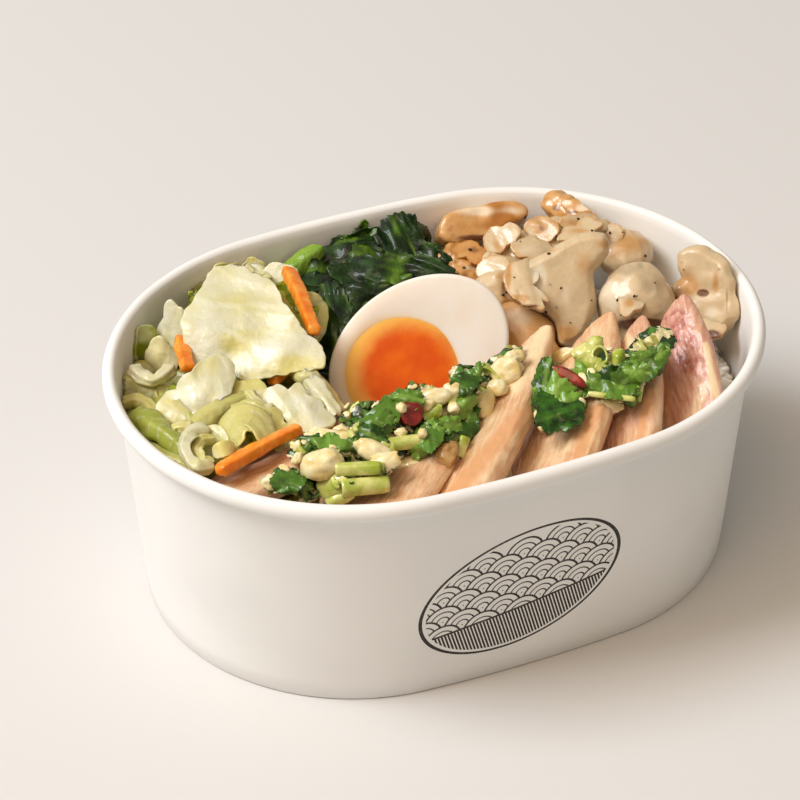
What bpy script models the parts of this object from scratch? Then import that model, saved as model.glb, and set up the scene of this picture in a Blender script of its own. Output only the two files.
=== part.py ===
import math
import random

import bmesh
import bpy
from mathutils import Matrix, Vector

# Units: every size below is in millimetres and turned into metres by MM
MM = 0.001

# Paper box: an oval bowl with a rolled rim and a folded foot
RIM_LENGTH = 190.0
RIM_WIDTH = 141.9
BOX_HEIGHT = 72.9
END_RADIUS = 69.96
SIDE_LEAN = 1.08
BEAD_WIDTH = 4.0
BEAD_HEIGHT = 5.0
PAPER = 0.8
FOOT_INSET = 8.8
FOOT_WIDTH = 2.4
FOOT_HEIGHT = 3.0
WALL_TOP_INSET = 3.55
OVAL_POINTS = 52
GAP = 0.3
CARVE = 0.4
KEPT_SHARE = 0.72

# Rice bed that everything lies on
RICE_LOW = 34.5
RICE_HIGH = 45.5
HEAP_FOOT = 36.0
GRAIN = (5.6, 2.5)
GRAIN_COUNT = 18

# Half egg, its cut face turned to the front left
EGG_CENTRE = (-1.7, 7.9, 60.0)
EGG_FACING = (-23.0, 35.9, 39.8)
EGG_HALF = (28.2, 22.0, 22.0)
EGG_TAPER = 0.05
YOLK_SHIFT = -6.8
YOLK_RADIUS = 16.3
EGG_POINTS = 28

# Chicken slices: front end and back end of the crest, width, thickness, lean, bow
SLICES = (
    ((-82.0, -34.0, 61.0), (-12.0, -17.0, 66.0), 21.0, 9.0, 76.0, 2.0),
    ((-43.0, -64.0, 62.0), (4.0, -24.0, 68.0), 34.0, 9.0, 74.0, 3.0),
    ((-21.0, -66.0, 65.0), (31.5, -8.0, 74.0), 24.0, 9.5, 58.0, 3.0),
    ((10.0, -66.5, 64.5), (49.0, -12.0, 76.0), 30.0, 9.0, 58.0, 4.0),
    ((33.5, -63.5, 64.5), (56.0, -17.0, 76.0), 22.0, 8.0, 52.0, 3.0),
    ((58.5, -55.0, 64.0), (68.0, -18.0, 80.0), 26.0, 8.0, 46.0, 3.0),
)

# Carrot strips: one end, other end, width, thickness
CARROTS = (
    ((-26.0, 49.0, 72.0), (-31.0, 15.0, 70.0), 4.4, 3.6),
    ((-64.5, 33.0, 69.0), (-68.5, 19.0, 65.0), 4.4, 3.4),
    ((-75.5, -25.5, 65.5), (-48.0, -15.5, 68.5), 4.8, 3.6),
    ((-46.5, 10.5, 63.5), (-39.0, 13.5, 61.5), 4.2, 3.2),
)

# Outlines seen face on, anticlockwise from the lowest point: the large cut mushroom, whose cap
# hooks over to the left, and the fried slab by the back wall
HOOKED_CAP = ((-4.0, -16.7), (2.0, -13.8), (5.6, -4.0), (5.0, 4.6), (10.2, 9.8), (9.2, 15.4), (0.5, 15.4),
              (-6.5, 11.2), (-13.5, 8.7), (-20.0, 3.6), (-17.6, -1.6), (-10.5, -5.4), (-6.4, -9.5),
              (-6.2, -14.5))
FRIED_SLAB = ((-8.5, -5.6), (1.5, -5.0), (7.5, -1.6), (13.6, 0.4), (13.6, 4.2), (7.0, 6.0), (-4.5, 5.4),
              (-11.5, 3.4), (-14.2, -2.5))

WHITE_PAPER = ("white paper", (0.86, 0.84, 0.81), 0.6)
RICE_WHITE = ("rice", (0.86, 0.82, 0.72), 0.5)
EGG_WHITE = ("egg white", (0.86, 0.76, 0.66), 0.35)
EGG_YOLK = ("egg yolk", (0.82, 0.25, 0.02), 0.3)
CABBAGE = ("cabbage", (0.76, 0.68, 0.36), 0.35)
CARROT = ("carrot", (0.90, 0.28, 0.03), 0.4)
SPINACH = ("spinach", (0.02, 0.07, 0.02), 0.3)
CHICKEN = ("steamed chicken", (0.76, 0.50, 0.34), 0.4)
MUSHROOM = ("mushroom", (0.72, 0.54, 0.34), 0.4)
BROWNED = ("browned mushroom", (0.52, 0.26, 0.09), 0.4)
RELISH = ("herb relish", (0.20, 0.30, 0.06), 0.35)


def clear_scene():
    for item in list(bpy.data.objects):
        bpy.data.objects.remove(item, do_unlink=True)


def material(look):
    name, colour, roughness = look
    found = bpy.data.materials.get(name)
    if found:
        return found
    made = bpy.data.materials.new(name)
    made.use_nodes = True
    shader = made.node_tree.nodes["Principled BSDF"]
    shader.inputs["Base Color"].default_value = (*colour, 1.0)
    shader.inputs["Roughness"].default_value = roughness
    shader.inputs["Metallic"].default_value = 0.0
    return made


def solid(name, points, faces, look, place=None, smooth=True):
    """One closed body from points in millimetres, placed by its matrix."""
    mesh = bpy.data.meshes.new(name)
    mesh.from_pydata([Vector(p) * MM for p in points], [], faces)
    mesh.materials.append(material(look))
    body = bmesh.new()
    body.from_mesh(mesh)
    bmesh.ops.recalc_face_normals(body, faces=body.faces)
    body.to_mesh(mesh)
    body.free()
    for face in mesh.polygons:
        face.use_smooth = smooth
    item = bpy.data.objects.new(name, mesh)
    bpy.context.scene.collection.objects.link(item)
    if place:
        item.matrix_world = place
    return item


def loft(rings, first=None, last=None):
    """Points and faces of rings joined in a row, each end drawn to a point or capped flat."""
    count = len(rings[0])
    points = [p for ring in rings for p in ring]
    faces = []
    for row in range(len(rings) - 1):
        for i in range(count):
            j = (i + 1) % count
            low = row * count
            faces.append((low + i, low + j, low + count + j, low + count + i))
    end = (len(rings) - 1) * count
    if first is None:
        faces.append(tuple(range(count))[::-1])
    else:
        points.append(first)
        tip = len(points) - 1
        faces += [(tip, (i + 1) % count, i) for i in range(count)]
    if last is None:
        faces.append(tuple(range(end, end + count)))
    else:
        points.append(last)
        tip = len(points) - 1
        faces += [(tip, end + i, end + (i + 1) % count) for i in range(count)]
    return points, faces


# Placing pieces

def seat(centre, facing, roll=0.0):
    """Local Z points to facing (turn, rise) in degrees, local X lies level before the roll."""
    turn, rise = (math.radians(v) for v in facing)
    normal = Vector((math.sin(turn) * math.cos(rise), -math.cos(turn) * math.cos(rise), math.sin(rise)))
    level = Vector((math.cos(turn), math.sin(turn), 0.0))
    upward = normal.cross(level)
    frame = Matrix((level, upward, normal)).transposed().to_4x4()
    place = Matrix.Translation(Vector(centre) * MM) @ frame
    return place @ Matrix.Rotation(math.radians(roll), 4, "Z")


def seat_along(start, end, lean):
    """Local X runs from start to end, local Z leans back from level by the rest of lean."""
    along = (Vector(end) - Vector(start)).normalized()
    heading = math.atan2(along.y, along.x)
    rise = math.radians(lean)
    wanted = Vector((-math.sin(heading) * math.cos(rise), math.cos(heading) * math.cos(rise),
                     math.sin(rise)))
    normal = (wanted - along * wanted.dot(along)).normalized()
    side = normal.cross(along)
    frame = Matrix((along, side, normal)).transposed().to_4x4()
    return Matrix.Translation(Vector(start) * MM) @ frame


# Combining bodies

def keep_largest(item):
    """Drops loose scraps and sealed hollows, so that one closed skin is left."""
    body = bmesh.new()
    body.from_mesh(item.data)
    left = set(body.verts)
    groups = []
    while left:
        stack = [left.pop()]
        group = [stack[0]]
        while stack:
            vert = stack.pop()
            for edge in vert.link_edges:
                other = edge.other_vert(vert)
                if other in left:
                    left.remove(other)
                    stack.append(other)
                    group.append(other)
        groups.append(group)
    groups.sort(key=len)
    spare = [vert for group in groups[:-1] for vert in group]
    bmesh.ops.delete(body, geom=spare, context="VERTS")
    body.to_mesh(item.data)
    body.free()


def combine(item, others, operation, solver):
    """Joins item with a collection of others by one Boolean, applies it, removes the others."""
    if not others:
        return
    group = bpy.data.collections.new("operands")
    bpy.context.scene.collection.children.link(group)
    for other in others:
        for owner in list(other.users_collection):
            owner.objects.unlink(other)
        group.objects.link(other)
    change = item.modifiers.new("combine", "BOOLEAN")
    change.operation = operation
    change.operand_type = "COLLECTION"
    change.collection = group
    change.solver = solver
    graph = bpy.context.evaluated_depsgraph_get()
    graph.update()
    result = bpy.data.meshes.new_from_object(item.evaluated_get(graph))
    item.modifiers.clear()
    item.data = result
    for other in others:
        bpy.data.objects.remove(other, do_unlink=True)
    bpy.data.collections.remove(group)


def thin_out(item):
    """Collapses the short edges that a union leaves, so that the heap stays light."""
    change = item.modifiers.new("thin_out", "DECIMATE")
    change.ratio = KEPT_SHARE
    graph = bpy.context.evaluated_depsgraph_get()
    graph.update()
    result = bpy.data.meshes.new_from_object(item.evaluated_get(graph))
    item.modifiers.clear()
    item.data = result


def grown(item, amount):
    """A copy whose skin lies further out by amount, used to leave room around the item."""
    copy = item.copy()
    copy.data = item.data.copy()
    bpy.context.scene.collection.objects.link(copy)
    body = bmesh.new()
    body.from_mesh(copy.data)
    body.normal_update()
    moves = [vert.normal * amount * MM * min(vert.calc_shell_factor(), 1.6) for vert in body.verts]
    for vert, move in zip(body.verts, moves):
        vert.co += move
    body.to_mesh(copy.data)
    body.free()
    return copy


def bounds(item):
    corners = [item.matrix_world @ vert.co for vert in item.data.vertices]
    low = Vector([min(c[k] for c in corners) for k in range(3)])
    high = Vector([max(c[k] for c in corners) for k in range(3)])
    return low, high


def near(one, two):
    low_a, high_a = bounds(one)
    low_b, high_b = bounds(two)
    room = 2 * CARVE * MM
    return all(low_a[k] < high_b[k] + room and low_b[k] < high_a[k] + room for k in range(3))


def make_room(item, placed):
    """Cuts item back from every placed neighbour and from the box's inner skin."""
    bpy.context.view_layer.update()
    combine(item, [grown(other, CARVE) for other in placed if near(item, other)],
            "DIFFERENCE", "MANIFOLD")
    combine(item, [inside_of_box()], "INTERSECT", "MANIFOLD")
    keep_largest(item)
    placed.append(item)


# Paper box

def oval(inset, height):
    """Four-arc oval of the rim, moved inwards by inset."""
    half_x = RIM_LENGTH / 2 - inset
    half_y = RIM_WIDTH / 2 - inset * SIDE_LEAN
    end = END_RADIUS - inset * SIDE_LEAN
    run = half_x - end
    side = (run * run + half_y * half_y - end * end) / (2 * (half_y - end))
    turn = math.atan2(run, side - half_y)
    split = side * turn / (side * turn + end * (math.pi / 2 - turn))
    points = []
    for step in range(OVAL_POINTS):
        share = 4 * step / OVAL_POINTS
        quarter = int(share)
        part = share - quarter
        if quarter % 2:
            part = 1 - part
        if part < split:
            angle = part / split * turn
            x = side * math.sin(angle)
            y = half_y - side + side * math.cos(angle)
        else:
            angle = turn + (part - split) / (1 - split) * (math.pi / 2 - turn)
            x = run + end * math.sin(angle)
            y = end * math.cos(angle)
        points.append((x if quarter in (0, 1) else -x, y if quarter in (0, 3) else -y, height))
    return points


def inner_inset(height):
    """Inset of the wall's inner skin at a height."""
    share = height / (BOX_HEIGHT - BEAD_HEIGHT)
    return FOOT_INSET + PAPER - (FOOT_INSET - WALL_TOP_INSET) * min(share, 1.0)


def box_wall():
    bead = BOX_HEIGHT - BEAD_HEIGHT / 2
    turns = (-110, -150, 180, 140, 100, 60, 20)
    profile = [(FOOT_INSET, 0.0), (WALL_TOP_INSET, BOX_HEIGHT - BEAD_HEIGHT + 0.2)]
    profile += [(BEAD_WIDTH / 2 * (1 + math.cos(math.radians(a))),
                 bead + BEAD_HEIGHT / 2 * math.sin(math.radians(a))) for a in turns]
    profile += [(inner_inset(BOX_HEIGHT), BOX_HEIGHT - BEAD_HEIGHT + 1.2),
                (inner_inset(FOOT_HEIGHT), FOOT_HEIGHT),
                (FOOT_INSET + FOOT_WIDTH, FOOT_HEIGHT), (FOOT_INSET + FOOT_WIDTH, 0.0)]
    rings = [oval(inset, height) for inset, height in profile]
    count = OVAL_POINTS
    points = [p for ring in rings for p in ring]
    faces = []
    for row in range(len(rings)):
        low = row * count
        high = (row + 1) % len(rings) * count
        faces += [(low + i, low + (i + 1) % count, high + (i + 1) % count, high + i)
                  for i in range(count)]
    return solid("box_wall", points, faces, WHITE_PAPER)


def box_base():
    low = FOOT_HEIGHT + GAP
    inset = inner_inset(low) + GAP
    rings = [oval(inset, low), oval(inset, low + PAPER)]
    return solid("box_base", *loft(rings), WHITE_PAPER, smooth=False)


def inside_of_box():
    """The room inside the box, one gap clear of its wall and base."""
    floor = FOOT_HEIGHT + 2 * GAP + PAPER
    top = BOX_HEIGHT - BEAD_HEIGHT
    levels = ((inner_inset(floor), floor), (inner_inset(top), top),
              (inner_inset(top), 2 * BOX_HEIGHT))
    return solid("room", *loft([oval(inset + GAP + 0.1, z) for inset, z in levels]), WHITE_PAPER)


# Rice

def ease(value, low, high):
    """A smooth step from 0 at low to 1 at high."""
    share = min(max((value - low) / (high - low), 0.0), 1.0)
    return share * share * (3 - 2 * share)


def rice_top(x, y):
    """Height of the rice bed: low under the heaps, higher under the slices and mushrooms."""
    front = ease(-y, 14.0, 28.0) * ease(x, -50.0, -30.0)
    slope = max(ease(x, 28.0, 66.0), front)
    ripple = 0.7 * math.sin(x / 9.0) * math.cos(y / 11.0)
    return RICE_LOW + (RICE_HIGH - RICE_LOW) * slope + ripple


def rice_core():
    floor = FOOT_HEIGHT + 3 * GAP + PAPER
    clear = 3 * GAP
    rings = [oval(inner_inset(floor) + clear, floor)]
    edge = [rice_top(x, y) for x, y, _ in oval(inner_inset(RICE_LOW), 0)]
    outer = [oval(inner_inset(top) + clear, top)[i] for i, top in enumerate(edge)]
    rings.append(outer)
    for share in (0.75, 0.4):
        rings.append([(x * share, y * share, rice_top(x * share, y * share)) for x, y, _ in outer])
    return solid("rice", *loft(rings, None, (0, 0, rice_top(0, 0))), RICE_WHITE)


def grain(place):
    length, width = GRAIN
    rings = []
    for share, size in ((-0.32, 0.8), (0.32, 0.8)):
        rings.append([(share * length, width / 2 * size * math.cos(a), width / 2 * size * math.sin(a))
                      for a in (math.radians(72 * k) for k in range(5))])
    return solid("grain", *loft(rings, (-length / 2, 0, 0), (length / 2, 0, 0)), RICE_WHITE, place)


def rice():
    """The bed, with loose grains where it shows beside the last slice."""
    dice = random.Random(11)
    grains = []
    for _ in range(GRAIN_COUNT):
        x = dice.uniform(67.0, 84.0)
        y = dice.uniform(-42.0, -4.0)
        centre = (x, y, rice_top(x, y) + dice.uniform(0.2, 1.2))
        grains.append(grain(seat(centre, (dice.uniform(0, 360), dice.uniform(55, 90)),
                                 dice.uniform(0, 180))))
    bed = rice_core()
    bpy.context.view_layer.update()
    combine(bed, grains, "UNION", "MANIFOLD")
    return bed


# Egg

def egg_ring(turn_count, depth_angle):
    """One ring of the egg's outside, from the cut face at 0 towards the back at 90 degrees."""
    a, b, c = EGG_HALF
    spread = math.cos(depth_angle)
    ring = []
    for k in range(turn_count):
        angle = 2 * math.pi * k / turn_count
        along = math.cos(angle) * spread
        narrow = 1 - EGG_TAPER * along
        ring.append((a * along, b * math.sin(angle) * spread * narrow, -c * math.sin(depth_angle)))
    return ring


def bowl_rings(radius, shift, steps):
    rings = []
    for k in range(steps):
        angle = math.pi / 2 * k / steps
        rings.append([(shift + radius * math.cos(angle) * math.cos(t),
                       radius * math.cos(angle) * math.sin(t), -radius * math.sin(angle))
                      for t in (2 * math.pi * i / EGG_POINTS for i in range(EGG_POINTS))])
    return rings


def egg_white():
    outside = [egg_ring(EGG_POINTS, math.pi / 2 * k / 7) for k in range(7)][::-1]
    cup = bowl_rings(YOLK_RADIUS + GAP, YOLK_SHIFT, 5)
    centre = (YOLK_SHIFT, 0, -YOLK_RADIUS - GAP)
    points, faces = loft(outside + cup, (0, 0, -EGG_HALF[2]), centre)
    return solid("egg_white", points, faces, EGG_WHITE, seat(EGG_CENTRE, EGG_FACING[:2], EGG_FACING[2]))


def egg_yolk():
    rings = bowl_rings(YOLK_RADIUS, YOLK_SHIFT, 5)
    points, faces = loft(rings, None, (YOLK_SHIFT, 0, -YOLK_RADIUS))
    return solid("egg_yolk", points, faces, EGG_YOLK, seat(EGG_CENTRE, EGG_FACING[:2], EGG_FACING[2]))


# Chicken

def chicken_slice(number, shape):
    """A slab along its crest: blunt at the front, drawn to a rounded tip at the back."""
    start, end, width, thick, lean, bow = shape
    length = (Vector(end) - Vector(start)).length
    rings = []
    shares = (0.03, 0.12, 0.25, 0.4, 0.55, 0.7, 0.83, 0.93, 0.985)
    for share in shares:
        full = min(1.0, 0.55 + 2.2 * share) * (1 - share ** 2.6) ** 0.55
        deep = min(1.0, 0.7 + 1.6 * share) * (1 - share ** 4) ** 0.5
        crest = -bow * 4 * share * (1 - share)
        ring = []
        for k in range(12):
            angle = 2 * math.pi * k / 12
            cos, sin = math.cos(angle), math.sin(angle)
            y = math.copysign(abs(cos) ** 0.7, cos)
            z = math.copysign(abs(sin) ** 0.7, sin)
            ring.append((share * length, crest + width * full * (1 + y) / 2,
                         thick * deep * (z - 1) / 2))
        rings.append(ring)
    first = (0, width * 0.3, -thick * 0.5)
    last = (length, width * 0.05, -thick * 0.3)
    return solid(f"chicken_{number}", *loft(rings, first, last), CHICKEN,
                 seat_along(start, end, lean))


# Carrot strips

def carrot_strip(number, shape):
    start, end, width, thick = shape
    length = (Vector(end) - Vector(start)).length
    rings = []
    for share, size in ((0.0, 0.7), (0.06, 0.95), (0.3, 1.0), (0.65, 0.95), (0.95, 0.8), (1.0, 0.6)):
        bend = 0.02 * length * math.sin(math.pi * share)
        half_w, half_t = width / 2 * size, thick / 2 * size
        ring = [(share * length, y * half_w, z * half_t + bend) for y, z in
                ((1, 0.6), (0.6, 1), (-0.6, 1), (-1, 0.6), (-1, -0.6), (-0.6, -1), (0.6, -1), (1, -0.6))]
        rings.append(ring)
    return solid(f"carrot_{number}", *loft(rings), CARROT, seat_along(start, end, 70.0))


# Mushrooms

def rounded_plate(outline, thick, edge):
    """A flat outline given thickness, its edges rounded off."""
    count = len(outline)
    inner = []
    for i in range(count):
        before, after = Vector(outline[i - 1]), Vector(outline[(i + 1) % count])
        inward = Vector((before.y - after.y, after.x - before.x)).normalized()
        inner.append(Vector(outline[i]) + inward * edge)
    half = thick / 2
    rings = [[(p[0], p[1], z) for p in ring] for ring, z in
             ((inner, -half), (outline, -half + edge), (outline, half - edge), (inner, half))]
    return loft(rings)


def mushroom_outline(cap_width, cap_height, stem_width, stem_length):
    """Cut face of a mushroom, cap up: the cap's arc, its curled edges and the stem."""
    half = cap_width / 2
    points = []
    for step in range(11):
        angle = math.radians(-18 + 216 * step / 10)
        points.append((half * math.cos(angle), cap_height * (0.25 + 0.75 * math.sin(angle))))
    stem = stem_width / 2
    points += [(-half * 0.62, -0.04 * cap_height), (-stem, 0.0), (-stem * 0.85, -stem_length * 0.6),
               (-stem * 0.7, -stem_length), (stem * 0.7, -stem_length), (stem * 0.85, -stem_length * 0.6),
               (stem, 0.0), (half * 0.62, -0.04 * cap_height)]
    return points


def curved(corners, steps=2):
    """Closed smooth curve through the corners, each stretch in a few steps."""
    count = len(corners)
    corners = [Vector(c) for c in corners]
    points = []
    for i in range(count):
        a, b, c, d = (corners[(i + k) % count] for k in (-1, 0, 1, 2))
        for step in range(steps):
            t = step / steps
            point = b + (c - a) * (t / 2) + (a * 2 - b * 5 + c * 4 - d) * (t * t / 2)
            point += (b * 3 - c * 3 + d - a) * (t ** 3 / 2)
            points.append((point.x, point.y))
    return points


def mushroom_slice(number, look, outline, thick, edge, place):
    return solid(f"mushroom_{number}", *rounded_plate(outline, thick, edge), look, place)


def lump(name, look, size, bumps, seed, place, detail=2):
    """A rounded chunk with an uneven skin."""
    body = bmesh.new()
    bmesh.ops.create_icosphere(body, subdivisions=detail, radius=1.0)
    dice = random.Random(seed)
    waves = [(Vector([dice.uniform(-2.6, 2.6) for _ in range(3)]), dice.uniform(0, 6.28))
             for _ in range(5)]
    points = []
    for vert in body.verts:
        swell = 1 + bumps * sum(math.sin(vert.co.dot(way) + phase) for way, phase in waves) / 2.5
        squared = [math.copysign(abs(c) ** 0.82, c) for c in vert.co]
        points.append(tuple(squared[k] * size[k] / 2 * swell for k in range(3)))
    faces = [tuple(v.index for v in face.verts) for face in body.faces]
    body.free()
    return solid(name, points, faces, look, place)


def mushroom_dome(number, look, size, place):
    """A cap: domed above, hollow below with a short stem stub."""
    width, depth, height = size
    profile = ((0.35, 0.97), (0.68, 0.8), (0.9, 0.5), (1.0, 0.2), (0.9, 0.02), (0.55, 0.1), (0.3, -0.05))
    rings = [[(width / 2 * r * math.cos(a), depth / 2 * r * math.sin(a), height * z)
              for a in (2 * math.pi * k / 16 for k in range(16))] for r, z in profile]
    points, faces = loft(rings, (0, 0, height), (0, 0, -0.12 * height))
    return solid(f"mushroom_{number}", points, faces, look, place)


def mushrooms():
    """Sliced and whole mushrooms, from the front ones to those by the wall."""
    return [
        mushroom_slice(5, MUSHROOM, curved(HOOKED_CAP), 12.0, 1.8, seat((47.6, 9.8, 69.0), (-19, 39))),
        mushroom_dome(6, MUSHROOM, (25.0, 24.0, 19.0), seat((64.5, 4.5, 60.0), (-15, 58), 0)),
        mushroom_slice(7, MUSHROOM, mushroom_outline(28.0, 15.0, 10.0, 9.0), 9.0, 2.0,
                       seat((80.0, -1.5, 65.0), (-50, 32), -58)),
        lump("mushroom_9", BROWNED, (18.0, 26.0, 14.0), 0.08, 5, seat((33.0, 8.0, 57.0), (-23, 50), 35)),
        lump("mushroom_10", MUSHROOM, (14.0, 13.0, 12.0), 0.10, 8, seat((30.5, 25.0, 64.0), (-23, 50), 0)),
        lump("mushroom_3", MUSHROOM, (37.0, 19.0, 17.0), 0.12, 21,
             seat((49.0, 36.5, 65.0), (-23, 60), 15), 3),
        lump("mushroom_2", BROWNED, (14.0, 19.0, 12.0), 0.10, 3, seat((26.5, 41.5, 61.0), (-23, 50), 40)),
        mushroom_slice(1, BROWNED, curved(FRIED_SLAB), 11.0, 0.9, seat((38.7, 55.0, 66.5), (-12, 46))),
        lump("mushroom_4", BROWNED, (14.0, 9.5, 11.0), 0.08, 9, seat((62.5, 46.5, 71.0), (-23, 50), -35)),
        lump("mushroom_8", MUSHROOM, (17.0, 15.0, 14.0), 0.10, 17, seat((73.0, 27.5, 64.0), (-23, 50), -30)),
    ]


# Leaves, used by the cabbage, the spinach and the relish

def leaf(look, size, thick, cup, wave, seed, place, grid=(6, 5)):
    """A thin wavy leaf: both faces follow the same waves and split into like triangles."""
    length, width = size
    cols, rows = grid
    dice = random.Random(seed)
    phases = [dice.uniform(0, 6.28) for _ in range(4)]
    faces = []
    middle = []
    for j in range(rows + 1):
        for i in range(cols + 1):
            s, t = 2 * i / cols - 1, 2 * j / rows - 1
            x = s * math.sqrt(1 - 0.38 * t * t)
            y = t * math.sqrt(1 - 0.38 * s * s)
            height = -cup * (x * x + 0.7 * y * y)
            height += wave * math.sin(3.2 * x + phases[0]) * math.cos(2.6 * y + phases[1])
            height += wave * 0.6 * math.sin(5.0 * y + 2.0 * x + phases[2])
            middle.append(Vector((x * length / 2, y * width / 2, height)))
    across = cols + 1
    normals = []
    for j in range(rows + 1):
        for i in range(cols + 1):
            left, right = middle[j * across + max(i - 1, 0)], middle[j * across + min(i + 1, cols)]
            below, above = middle[max(j - 1, 0) * across + i], middle[min(j + 1, rows) * across + i]
            normals.append((right - left).cross(above - below).normalized())
    total = len(middle)
    points = [tuple(p + n * thick / 2) for p, n in zip(middle, normals)]
    points += [tuple(p - n * thick / 2) for p, n in zip(middle, normals)]
    for j in range(rows):
        for i in range(cols):
            a = j * across + i
            b, c, d = a + 1, a + across + 1, a + across
            faces += [(a, b, c), (a, c, d), (total + a, total + c, total + b),
                      (total + a, total + d, total + c)]
    rim = [i for i in range(cols)] + [j * across + cols for j in range(rows)]
    rim += [rows * across + i for i in range(cols, 0, -1)] + [j * across for j in range(rows, 0, -1)]
    for a, b in zip(rim, rim[1:] + rim[:1]):
        faces.append((a, total + a, total + b, b))
    return solid("leaf", points, faces, look, place)


def mound(name, look, centre, size, foot, seed, place_top):
    """A heap's core: an uneven dome on straight sides that go down to the rice."""
    width, depth = size
    dice = random.Random(seed)
    phase = dice.uniform(0, 6.28)
    count = 20
    rings = []
    for share, level in ((1.0, 0.0), (1.0, 0.6), (0.9, 0.82), (0.6, 0.96), (0.3, 1.0)):
        ring = []
        for k in range(count):
            angle = 2 * math.pi * k / count
            sway = 1 + 0.05 * math.sin(3 * angle + phase)
            x = width / 2 * share * sway * math.copysign(abs(math.cos(angle)) ** 0.8, math.cos(angle))
            y = depth / 2 * share * sway * math.copysign(abs(math.sin(angle)) ** 0.8, math.sin(angle))
            ring.append((centre[0] + x, centre[1] + y, foot + (place_top - foot) * level))
        rings.append(ring)
    return solid(name, *loft(rings, None, (centre[0], centre[1], place_top)), look)


def cabbage():
    """Soft cabbage: a core with the large crumpled leaves and shreds that show."""
    heap = mound("cabbage", CABBAGE, (-57.0, 17.0), (62.0, 88.0), HEAP_FOOT, 4, 59.0)
    big = [
        ((39.0, 35.0), 4.0, 5.0, 1.2, 1, seat((-46.0, 28.0, 70.0), (-23, 62), 0), (6, 6)),
        ((25.0, 20.0), 3.5, 5.0, 1.0, 2, seat((-67.0, 10.5, 64.5), (-40, 60), 20), (5, 4)),
        ((33.0, 22.0), 2.5, 2.0, 1.5, 3, seat((-36.0, 53.5, 61.0), (-23, 15), 0), (6, 3)),
        ((22.0, 11.0), 2.2, 2.0, 1.2, 4, seat((-61.0, 45.0, 62.5), (-60, 35), 75), (5, 3)),
        ((20.0, 13.0), 2.2, 2.0, 1.2, 5, seat((-72.0, 43.0, 58.5), (-60, 40), 60), (5, 3)),
        ((24.0, 12.0), 2.2, 2.5, 1.0, 6, seat((-76.0, 27.0, 58.5), (-60, 70), 20), (5, 3)),
        ((24.0, 13.0), 2.2, 2.5, 1.0, 7, seat((-80.0, 4.0, 59.5), (-60, 60), -35), (5, 3)),
        ((17.0, 12.0), 2.2, 4.0, 0.8, 8, seat((-60.0, -8.0, 63.0), (-20, 60), -20), (5, 3)),
        ((25.0, 15.0), 2.2, 2.0, 1.2, 9, seat((-44.0, -2.0, 61.0), (-10, 65), -25), (5, 3)),
        ((20.0, 12.0), 2.2, 3.0, 0.8, 10, seat((-73.5, -12.5, 60.5), (-30, 60), 50), (5, 3)),
        ((15.0, 11.0), 2.2, 2.0, 1.0, 11, seat((-29.5, 33.0, 63.0), (-20, 60), 70), (4, 3)),
        ((20.0, 6.0), 2.0, 1.0, 1.0, 12, seat((-34.5, 3.0, 61.5), (-10, 70), -50), (5, 2)),
        ((20.0, 22.0), 2.5, 2.0, 1.4, 13, seat((-51.0, 52.0, 60.5), (-23, 20), 0), (5, 3)),
    ]
    leaves = [leaf(CABBAGE, size, thick, cup, wave, seed, place, grid)
              for size, thick, cup, wave, seed, place, grid in big]
    bpy.context.view_layer.update()
    combine(heap, leaves, "UNION", "MANIFOLD")
    return heap


def spinach():
    """Dark wilted leaves behind the egg, with a band running down its left side."""
    heap = mound("spinach", SPINACH, (0.0, 51.0), (52.0, 34.0), HEAP_FOOT, 6, 61.0)
    folds = [
        ((34.0, 20.0), 3.4, 4.0, 2.0, 1, seat((-3.0, 57.0, 65.5), (-30, 62), 15), (5, 4)),
        ((27.0, 18.0), 3.4, 4.0, 2.0, 2, seat((12.5, 60.5, 67.5), (0, 58), -10), (6, 4)),
        ((34.0, 16.0), 3.4, 4.0, 2.0, 3, seat((2.0, 45.0, 63.5), (-23, 55), 12), (6, 4)),
        ((28.0, 13.0), 3.2, 3.0, 1.5, 4, seat((-15.0, 39.5, 59.0), (-50, 50), 50), (5, 3)),
        ((26.0, 10.0), 3.0, 2.0, 1.2, 5, seat((-27.0, 23.0, 56.0), (-60, 50), 60), (5, 3)),
        ((13.0, 10.0), 3.2, 3.0, 1.0, 6, seat((15.0, 65.0, 70.0), (10, 45), 20), (4, 3)),
        ((18.0, 7.0), 3.0, 1.5, 0.6, 7, seat((-18.5, 60.0, 63.5), (-30, 55), 35), (4, 2)),
        ((21.0, 14.0), 3.2, 3.0, 1.6, 8, seat((19.0, 44.0, 61.5), (-10, 60), -20), (5, 3)),
        ((12.0, 8.0), 3.2, 2.0, 0.8, 9, seat((2.0, 64.0, 69.5), (-10, 45), -10), (4, 2)),
    ]
    leaves = [leaf(SPINACH, size, thick, cup, wave, seed, place, grid)
              for size, thick, cup, wave, seed, place, grid in folds]
    bpy.context.view_layer.update()
    combine(heap, leaves, "UNION", "MANIFOLD")
    return heap


def stub(start, end, radius, sides=7):
    """A short round piece of spring onion or chilli."""
    length = (Vector(end) - Vector(start)).length
    rings = [[(x * length, radius * s * math.cos(a), radius * s * math.sin(a))
              for a in (2 * math.pi * k / sides for k in range(sides))]
             for x, s in ((0.0, 0.85), (0.08, 1.0), (0.92, 1.0), (1.0, 0.85))]
    return solid("stub", *loft(rings), RELISH, seat_along(start, end, 80.0))


def relish(name, size, place, bits, detail):
    """A spoonful of chopped garlic, spring onion, herbs and chilli on a flat core."""
    core = lump(name, RELISH, size, 0.08, 31, place, detail)
    bpy.context.view_layer.update()
    combine(core, bits, "UNION", "MANIFOLD")
    thin_out(core)
    return core


def chunk(size, seed, centre, roll):
    return lump("bit", RELISH, size, 0.1, seed, seat(centre, (0, 60), roll))


def sprig(size, seed, centre, facing, roll):
    return leaf(RELISH, size, 1.8, 2.6, 0.8, seed, seat(centre, facing, roll), (4, 3))


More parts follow.
